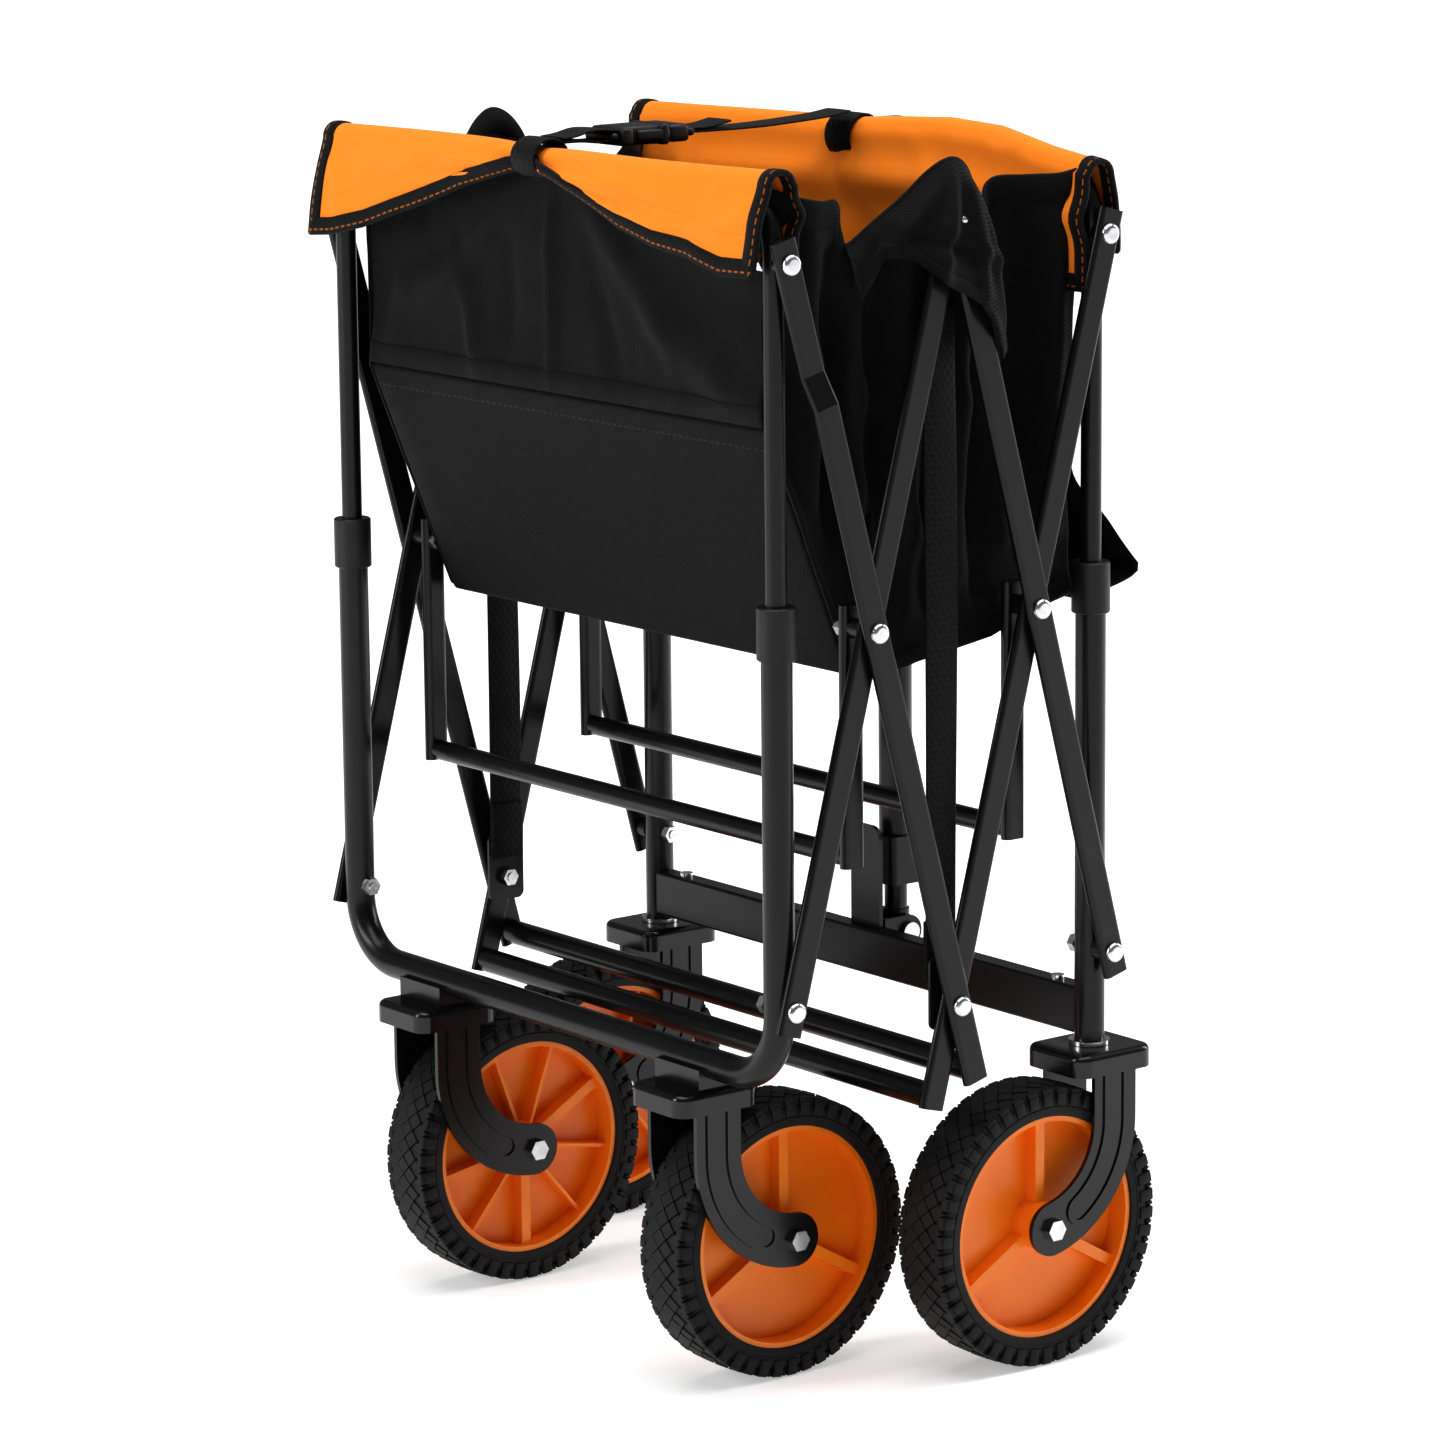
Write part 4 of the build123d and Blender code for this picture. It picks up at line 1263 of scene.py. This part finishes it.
@dataclass
class EndWall:
    """Black cloth end wall hanging inside a flap down to its hem.

    Attributes:
        end: Front or rear.
        finishes: The wagon's finishes.
        half_width: Half the wall's width, in millimetres.
        top: Height where it goes into the flap.
        steps: Places up the front wall.
        hem_width: Width of the hem.
        hem_thick: Thickness of the hem.
    """

    end: End
    finishes: Finishes
    half_width: float = 203.0
    top: float = 741.0
    steps: int = 60
    hem_width: float = 14.0
    hem_thick: float = 3.0

    def rear_grid(self) -> np.ndarray:
        """Lays out the rear wall from its hem up.

        Returns:
            Rows across by columns up.
        """
        y, z = np.meshgrid(np.linspace(self.half_width, -self.half_width, 110),
                           np.linspace(603, self.top, 44),
                           indexing="ij")
        folds = [Fold((7, 745), (9, 600), 4.5, 5.5), Fold((-20, 735), (-120, 640), 13, 7.0),
                 Fold((-110, 655), (-190, 610), 16, 7.5), Fold((-70, 730), (-185, 690), 12, 4.5),
                 Fold((40, 735), (110, 665), 13, 5.0), Fold((110, 668), (150, 650), 15, 8.0),
                 Fold((96, 660), (84, 606), 8, 6.0), Fold((150, 690), (185, 610), 12, 4.5),
                 Fold((-30, 690), (-60, 615), 10, -4.0), Fold((50, 690), (60, 612), 9, -4.5)]
        push = crumple(y, z, folds, 1.7, 2.2)
        fade = ease(z, 603, 622) * (1 - ease(z, 705, 741))
        x = self.end.rail_x + 8.2 - 2.0 * ease(-z, -640, -603) - push * fade
        return np.stack([x, y, z], axis=2)

    def front_grid(self) -> np.ndarray:
        """Lays out the front wall, which bulges over the front floor panel's corners.

        Returns:
            Rows across by columns up.
        """
        rows = []
        for place in np.linspace(-self.half_width, self.half_width, 90):
            poke = ease(abs(place), 45, 203) ** 1.4
            out = 133 + 36 * poke
            knots = [(128.5, 474), (out - 10, 483), (out, 490), (out - 4, 498),
                     (out - 15 * poke - 2, 521), (125, 552),
                     (119, 600), (117, 670), (116.5, self.top)]
            line = bent_line(knots, self.steps)
            wide = 1 + 0.055 * poke * np.exp(-(((line[:, 1] - 490) / 16) ** 2))
            rows.append(np.stack([line[:, 0], place * wide, line[:, 1]], axis=1))
        grid = np.array(rows)
        y, z = grid[:, :, 1], grid[:, :, 2]
        folds = [Fold((-190, 500), (-120, 700), 14, 5.0), Fold((190, 500), (110, 700), 14, 5.0),
                 Fold((0, 735), (-10, 560), 9, 4.0),
                 Fold((-120, 520), (-60, 640), 12, -5.0), Fold((120, 530), (70, 650), 12, -5.0),
                 Fold((-60, 730), (-150, 640), 11, 4.0), Fold((60, 730), (160, 660), 11, 4.0)]
        fade = ease(z, 488, 540) * (1 - 0.6 * ease(z, 722, 741))
        grid[:, :, 0] += crumple(y, z, folds, 8.1, 2.0) * fade * (0.25 + 0.75 * ease(np.abs(y), 20, 60))
        return grid

    def build(self) -> None:
        """Makes the wall and its hem."""
        grid = self.rear_grid() if self.end is End.REAR else self.front_grid()
        hem = f"bag_{self.end.word}_hem"
        wall = dress(lattice(f"{self.end.word}_wall_cloth", grid, 0.0009), self.finishes.black)
        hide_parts(f"bag_{self.end.word}_wall")
        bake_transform(wall)
        path = grid[:, 0]
        across = grid[:, 4] - path
        strip = ribbon(f"{self.end.word}_wall_hem", path, across, self.hem_width, self.hem_thick)
        dress(strip, self.finishes.hem)
        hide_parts(hem)
        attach(strip, hem)
        log.info("made the %s wall", self.end.word)


# ---------------------------------------------------------------- floor panels


@dataclass
class FloorPanel:
    """A stiff floor board in its padded cloth cover.

    Attributes:
        number: Which board, from the rear.
        finishes: The wagon's finishes.
        margin: How far the cover reaches past the board, in metres.
        pad: How far the cover stands off the board.
    """

    number: int
    finishes: Finishes
    margin: float = 0.0065
    pad: float = 0.0016

    def build(self) -> None:
        """Makes the cover, crowned between its stitched edges."""
        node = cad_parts[f"board_{self.number}"]
        corners = np.array([v.co[:] for v in node.data.vertices])
        middle = (corners.min(axis=0) + corners.max(axis=0)) / 2
        flat = corners[:, [0, 2]] - corners[:, [0, 2]].mean(axis=0)
        lean = np.linalg.svd(flat, full_matrices=False)[2][0]
        if self.number == 1:
            lean = lean * (1 if lean[1] > 0 else -1)
        along = flat @ lean
        high = flat @ np.array([-lean[1], lean[0]])
        length, thick, wide = np.ptp(along), np.ptp(high), np.ptp(corners[:, 1])
        deselect()
        bpy.ops.mesh.primitive_cube_add(size=1)
        cover = bpy.context.object
        cover.name = f"floor_panel_{self.number}"
        bpy.ops.object.mode_set(mode="EDIT")
        size = (length + 2 * self.pad, wide + 2 * self.margin, thick + 2 * self.pad)
        bpy.ops.transform.resize(value=size)
        bpy.ops.mesh.bevel(offset=0.0030, segments=3, affect="EDGES")
        bpy.ops.mesh.select_all(action="SELECT")
        bpy.ops.mesh.subdivide(number_cuts=5)
        bpy.ops.mesh.subdivide(number_cuts=3)
        bpy.ops.object.mode_set(mode="OBJECT")
        self.crown(cover, length / 2, wide / 2)
        turn = Matrix(((lean[0], 0, -lean[1], 0), (0, 1, 0, 0), (lean[1], 0, lean[0], 0), (0, 0, 0, 1)))
        centre = corners[:, [0, 2]].mean(axis=0)
        place = Matrix.Translation((float(centre[0]), float(middle[1]), float(centre[1])))
        cover.data.transform(place @ turn)
        outward(cover)
        smooth(cover, 50)
        dress(cover, self.finishes.cover)
        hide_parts(f"board_{self.number}")
        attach(cover, f"board_{self.number}")
        log.info("made floor panel %d", self.number)

    def crown(self, cover: bpy.types.Object, half_length: float, half_width: float) -> None:
        """Raises the cover softly between a sewn border and lays its map out flat.

        Args:
            cover: The cover, before it is turned into place.
            half_length: Half the board's length.
            half_width: Half the board's width.
        """
        layer = cover.data.uv_layers.active or cover.data.uv_layers.new(name="flat")
        for loop in cover.data.loops:
            co = cover.data.vertices[loop.vertex_index].co
            layer.data[loop.index].uv = (co.y + half_width, half_length - co.x)
        for vertex in cover.data.vertices:
            inside = min(half_length - abs(vertex.co.x), half_width - abs(vertex.co.y))
            seam = math.exp(-(((inside - 0.012) / 0.0022) ** 2))
            soft = noise.noise(Vector((vertex.co.x * 14 + self.number, vertex.co.y * 11, 0.5)))
            swell = 0.0008 * ease(inside, 0.014, 0.06) * (1 + 0.9 * soft) - 0.0009 * seam
            vertex.co.z += math.copysign(swell, vertex.co.z)


# ---------------------------------------------------------------- sides of the bag


@dataclass
class BagSide:
    """One gathered side of the bag: the wall, its top hem, and the cover over the upper centre pivot.

    Attributes:
        side: Left or right.
        finishes: The wagon's finishes.
        steps: Places along the hem.
        wall_steps: Places up the wall.
        cover_steps: Places up the cover.
        blend_x: Where the side would stop following one end of the wagon, in millimetres; not used.
    """

    side: Side
    finishes: Finishes
    steps: int = 170
    wall_steps: int = 54
    cover_steps: int = 26
    blend_x: float = 112.0

    def hem_line(self) -> np.ndarray:
        """The top edge of the wall from rear to front.

        Returns:
            Points in millimetres.
        """
        s = self.side.value
        knots = [(-119, 214, 744), (-106, 222, 739), (-92, 226, 736), (-80, 225, 735), (-72, 219, 716),
                 (-62, 211, 708),
                 (-48, 214, 717), (-32, 221, 731), (-14, 229, 749), (0, 232, 756), (12, 231, 753),
                 (21, 228, 742),
                 (28, 224, 724), (38, 215, 700), (52, 201, 702), (66, 186, 722), (76, 182, 735),
                 (92, 196, 737),
                 (106, 210, 738), (118, 218, 742)]
        return bent_line([(x, s * y, z) for x, y, z in knots], self.steps)

    def wall_grid(self) -> np.ndarray:
        """Lays out the wall from the folded floor's edge up to the hem.

        Returns:
            Rows from rear to front by columns up.
        """
        s = self.side.value
        top = self.hem_line()
        x = top[:, 0]
        share = lengths(top) / lengths(top)[-1]
        foot_x = np.interp(share, (0, 0.28, 0.42, 0.55, 1), (-117, -62, -34, 20, 119))
        foot_z = np.interp(foot_x, (-117, -56, -34, 55, 119), (600, 451, 446, 459, 481))
        columns = np.linspace(0, 1, self.wall_steps)
        rows = []
        for i in range(len(x)):
            foot = np.array([foot_x[i], s * 206.0, foot_z[i]])
            line = foot + (top[i] - foot) * columns[:, None]
            belly = np.sin(math.pi * columns) ** 0.8
            line[:, 1] -= s * 7.0 * belly
            rows.append(line)
        grid = np.array(rows)
        a, b = grid[:, :, 0], grid[:, :, 2]
        folds = [Fold((-100, 735), (-84, 560), 9, 9.0), Fold((-78, 705), (-66, 540), 8, -12.0),
                 Fold((-62, 700), (-50, 500), 9, 10.0),
                 Fold((-40, 712), (-36, 470), 8, -11.0), Fold((-22, 700), (-14, 480), 9, 8.0),
                 Fold((4, 710), (8, 470), 8, -10.0),
                 Fold((24, 700), (26, 500), 9, 9.0), Fold((44, 690), (46, 480), 8, -12.0),
                 Fold((66, 700), (68, 520), 9, 10.0),
                 Fold((88, 715), (88, 500), 9, -9.0), Fold((106, 720), (106, 520), 8, 7.0),
                 Fold((-70, 640), (-20, 590), 10, 7.0),
                 Fold((-50, 560), (10, 520), 12, 6.0), Fold((30, 610), (84, 560), 10, 6.0),
                 Fold((-95, 650), (-60, 600), 9, 6.0)]
        fade = ease(columns, 0.0, 0.14) * (1 - 0.75 * ease(columns, 0.86, 1.0))
        push = crumple(a, b, folds, 2.6 + s, 3.0) * fade[None, :]
        grid[:, :, 1] += s * np.clip(push, -26, 11)
        return grid

    def cover_grid(self) -> np.ndarray:
        """Lays out the cover outside the bars from its lower edge up to the hem.

        Returns:
            Rows from rear to front by columns up.
        """
        s = self.side.value
        top = self.hem_line()[34:118]
        x = top[:, 0]
        knots_x = (-76, -62, -46, -32, -18, 0, 10, 22, 36, 44)
        knots_z = (698, 676, 700, 699, 684, 676, 670, 655, 634, 648)
        low_z = np.interp(x, knots_x, knots_z)
        low_z = np.minimum(low_z, top[:, 2] - 14)
        out = 250.0 - 24 * ease(np.abs(x - 2), 16, 52)
        columns = np.linspace(0, 1, self.cover_steps)
        rows = []
        for i in range(len(x)):
            foot = np.array([x[i], s * out[i], low_z[i]])
            line = foot + (top[i] - foot) * columns[:, None]
            reach = s * out[i] + (top[i, 1] - s * out[i]) * columns ** 2.2
            line[:, 1] = reach
            rows.append(line)
        grid = np.array(rows)
        a, b = grid[:, :, 0], grid[:, :, 2]
        folds = [Fold((-4, 752), (-58, 688), 5, 6.0), Fold((0, 748), (-22, 682), 4.5, 5.5),
                 Fold((8, 748), (14, 674), 4.5, 5.0),
                 Fold((14, 742), (38, 640), 5, 6.5), Fold((-40, 715), (-58, 690), 4, -5.0),
                 Fold((-30, 712), (6, 700), 5, -5.0),
                 Fold((10, 704), (34, 690), 4, 4.5)]
        fade = 1 - 0.9 * ease(columns, 0.8, 1.0)
        grid[:, :, 1] += s * crumple(a, b, folds, 5.2 + s, 2.4) * fade[None, :]
        return grid

    def build(self) -> None:
        """Makes the wall, the cover, their hems and the bar tacks."""
        word = self.side.word
        wall_grid, cover_grid = self.wall_grid(), self.cover_grid()
        wall = dress(lattice(f"{word}_wall_cloth", wall_grid, 0.0009), self.finishes.black)
        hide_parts(f"bag_{word}_wall")
        cover = dress(lattice(f"{word}_pivot_cover", cover_grid, 0.0010), self.finishes.black)
        top = wall_grid[:, -1]
        down = wall_grid[:, -5] - top
        hem = dress(ribbon(f"{word}_top_hem", top + np.array([0, 0, 1.0]), down, 17.0, 3.4),
                    self.finishes.black)
        foot = wall_grid[:, 0]
        foot_hem = dress(ribbon(f"{word}_foot_hem", foot, wall_grid[:, 4] - foot, 10.0, 2.6),
                         self.finishes.hem)
        edge = cover_grid[:, 0]
        cover_hem = dress(ribbon(f"{word}_cover_hem", edge, cover_grid[:, 4] - edge, 9.0, 2.4),
                          self.finishes.black)
        tacks = dress(self.tacks(top), self.finishes.bar_tack)
        pieces = [wall, cover, hem, foot_hem, cover_hem, tacks]
        for piece in pieces:
            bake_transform(piece)
        log.info("made the %s side of the bag", word)

    def tacks(self, top: np.ndarray) -> bpy.types.Object:
        """Makes the three pale bar tacks below the hem's peak.

        Args:
            top: The hem's line.

        Returns:
            The stitches as one piece.
        """
        s = self.side.value
        place = top[int(np.argmin(np.abs(top[:, 0] + 21)))]
        stitches = []
        for step in range(3):
            z = place[2] - 5.0 - 4.2 * step
            spot = mm(place[0] - 0.4 * step, place[1] + s * 3.0, z)
            stitches.append(bevelled_block("tack", spot, (0.0012, 0.0016, 0.0024), 0.0004, 2))
        return join(f"{self.side.word}_bar_tacks", stitches)


@dataclass
class CornerTabs:
    """The two webbing tabs that tie the side walls to the front frame.

    Attributes:
        finishes: The wagon's finishes.
    """

    finishes: Finishes

    def build(self) -> None:
        """Makes both tabs as one piece on the bag's side edge."""
        low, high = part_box("bag_corner_tabs")
        tabs = []
        for side in Side:
            s = side.value
            x = ((low.x + high.x) / 2 - MIDDLE_X) * 1000
            z = np.linspace(low.z * 1000, high.z * 1000, 20)
            y = s * (high.y * 1000 - 1.2 + 0.8 * np.sin(z / 9))
            path = np.stack([np.full(20, x - 6.0), y, z], axis=1)
            tabs.append(ribbon("tab", path, np.tile([1.0, 0.0, 0.0], (20, 1)), 12.0, 1.6))
        piece = dress(join("corner_tab_webbing", tabs), self.finishes.webbing)
        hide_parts("bag_corner_tabs")
        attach(piece, "bag_side_edge")


# ---------------------------------------------------------------- webbing straps


@dataclass
class SideStrap:
    """The webbing strap between the lower centre pivot and the bag on one side.

    Attributes:
        side: Left or right.
        finishes: The wagon's finishes.
        width: Width in millimetres.
    """

    side: Side
    finishes: Finishes
    width: float = 25.0

    def build(self) -> None:
        """Makes the strap, flat between its ends with a slight waver, and its doubled lower end."""
        node = f"side_strap_{self.side.word}"
        low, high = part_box(node)
        s = self.side.value
        x = ((low.x + high.x) / 2 - MIDDLE_X) * 1000
        y = (low.y + high.y) / 2 * 1000
        z = np.linspace(low.z * 1000, high.z * 1000, 90)
        waver = 1.1 * np.sin((z - low.z * 1000) / 95)
        path = np.stack([x - self.width / 2 + 0.8 * waver, y + s * 0.2 * waver, z], axis=1)
        across = np.stack([np.ones(90), s * 0.05 * np.sin(z / 70), np.zeros(90)], axis=1)
        strap = ribbon(f"{node}_webbing", path, across, self.width, 1.7)
        doubled = ribbon("doubled", path[:9] + np.array([0, -s * 1.9, 0]), across[:9], self.width, 1.6)
        piece = dress(join(f"{node}_webbing", [strap, doubled]), self.finishes.webbing)
        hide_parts(node)
        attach(piece, "centre_straps")
        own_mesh(piece)


@dataclass
class TopStrap:
    """The strap over the top with its side-release buckle.

    Attributes:
        finishes: The wagon's finishes.
        middle_y: Middle of the strap across the wagon, in millimetres.
        width: Width of the webbing.
        thick: Thickness of the webbing.
        steps: Places along each run.
    """

    finishes: Finishes
    middle_y: float = 8.0
    width: float = 25.0
    thick: float = 1.7
    steps: int = 60

    def strip(self, name: str, knots: Sequence[Sequence[float]], width: float) -> bpy.types.Object:
        """Makes one run of the strap, which bends in the XZ plane.

        Args:
            name: Piece name.
            knots: Places (x, z) of the run.
            width: Width in millimetres.

        Returns:
            The run.
        """
        line = bent_line(knots, self.steps)
        across = np.tile([0.0, 1.0, 0.0], (self.steps, 1))
        centre = np.stack([line[:, 0], np.full(self.steps, self.middle_y), line[:, 1]], axis=1)
        return dress(ribbon(name, centre - across * width / 2, across, width, self.thick),
                     self.finishes.webbing)

    def build(self) -> None:
        """Makes both halves and the buckle."""
        rear_run = [(-114, 759.5), (-104, 760.5), (-90, 763), (-72, 761.5), (-66, 759)]
        under_run = [(-114, 757.2), (-100, 757.0), (-84, 755.5), (-70, 757)]
        front_run = [(-22, 758), (-10, 757.5), (40, 757.5), (90, 760), (112, 762.5)]
        tail_run = [(-20, 759.6), (0, 759.8), (16, 762.5)]
        rear = self.strip("top_strap_rear_webbing", rear_run, self.width)
        under = self.strip("top_strap_rear_return", under_run, self.width)
        front = self.strip("top_strap_front_webbing", front_run, self.width)
        tail = self.strip("top_strap_front_tail", tail_run, self.width - 1)
        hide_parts("strap_rear_half")
        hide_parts("strap_front_half")
        for piece in (rear, under):
            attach(piece, "strap_rear")
        for piece in (front, tail):
            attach(piece, "strap_front")
        self.buckle()
        log.info("made the top strap")

    def buckle(self) -> None:
        """Models the socket and the plug with its two spring arms."""
        low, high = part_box("buckle_socket")
        x0, x1 = low.x, high.x
        y, z = (low.y + high.y) / 2, (low.z + high.z) / 2
        wide, high_z = high.y - low.y, high.z - low.z
        shell = bevelled_block("socket_shell", ((x0 + x1) / 2, y, z), (x1 - x0, wide - 0.006, high_z),
                               0.0028, 3)
        bar = bevelled_block("socket_bar", (x0 - 0.004, y, z), (0.005, wide - 0.004, 0.005), 0.0018, 3)
        lip = bevelled_block("socket_lip", (x1 - 0.003, y, z), (0.006, wide, high_z + 0.001), 0.002, 3)
        heel = bevelled_block("socket_heel", (x0 + 0.004, y, z), (0.008, wide, high_z - 0.001), 0.002, 3)
        socket = dress(join("buckle_socket_shell", [shell, bar, lip, heel]), self.finishes.plastic)
        smooth(socket, 30)
        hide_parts("buckle_socket")
        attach(socket, "strap_rear")
        low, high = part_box("buckle_plug")
        head_x = high.x - 0.008
        head = bevelled_block("plug_head", (head_x, y, z), (0.0150, wide, high_z - 0.001), 0.0026, 3)
        rear_bar = bevelled_block("plug_bar", (high.x + 0.0025, y, z), (0.005, wide - 0.004, 0.005),
                                  0.0018, 3)
        arm_size = (0.0250, 0.0050, high_z - 0.005)
        arms = []
        for side in (1, -1):
            place = (x1 - 0.0115, y + side * (wide / 2 - 0.0028), z)
            arms.append(bevelled_block("plug_arm", place, arm_size, 0.0018, 3))
        plug = dress(join("buckle_plug_body", [head, rear_bar, *arms]), self.finishes.plastic)
        smooth(plug, 30)
        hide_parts("buckle_plug")
        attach(plug, "strap_front")


# ---------------------------------------------------------------- the wagon


def main() -> None:
    """Builds the studio and every piece of the wagon."""
    logging.basicConfig(level=logging.INFO, format="%(message)s")
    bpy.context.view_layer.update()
    finishes = Finishes()
    Studio().build()
    Metalwork(finishes).build()
    for end in End:
        for side in Side:
            Tyre(end, side, finishes.rubber).build()
        EndFlap(end, finishes).build()
        EndWall(end, finishes).build()
    for number in range(1, 5):
        FloorPanel(number, finishes).build()
    for side in Side:
        BagSide(side, finishes).build()
        SideStrap(side, finishes).build()
    CornerTabs(finishes).build()
    TopStrap(finishes).build()
    deselect()


if __name__ == "__main__":
    main()
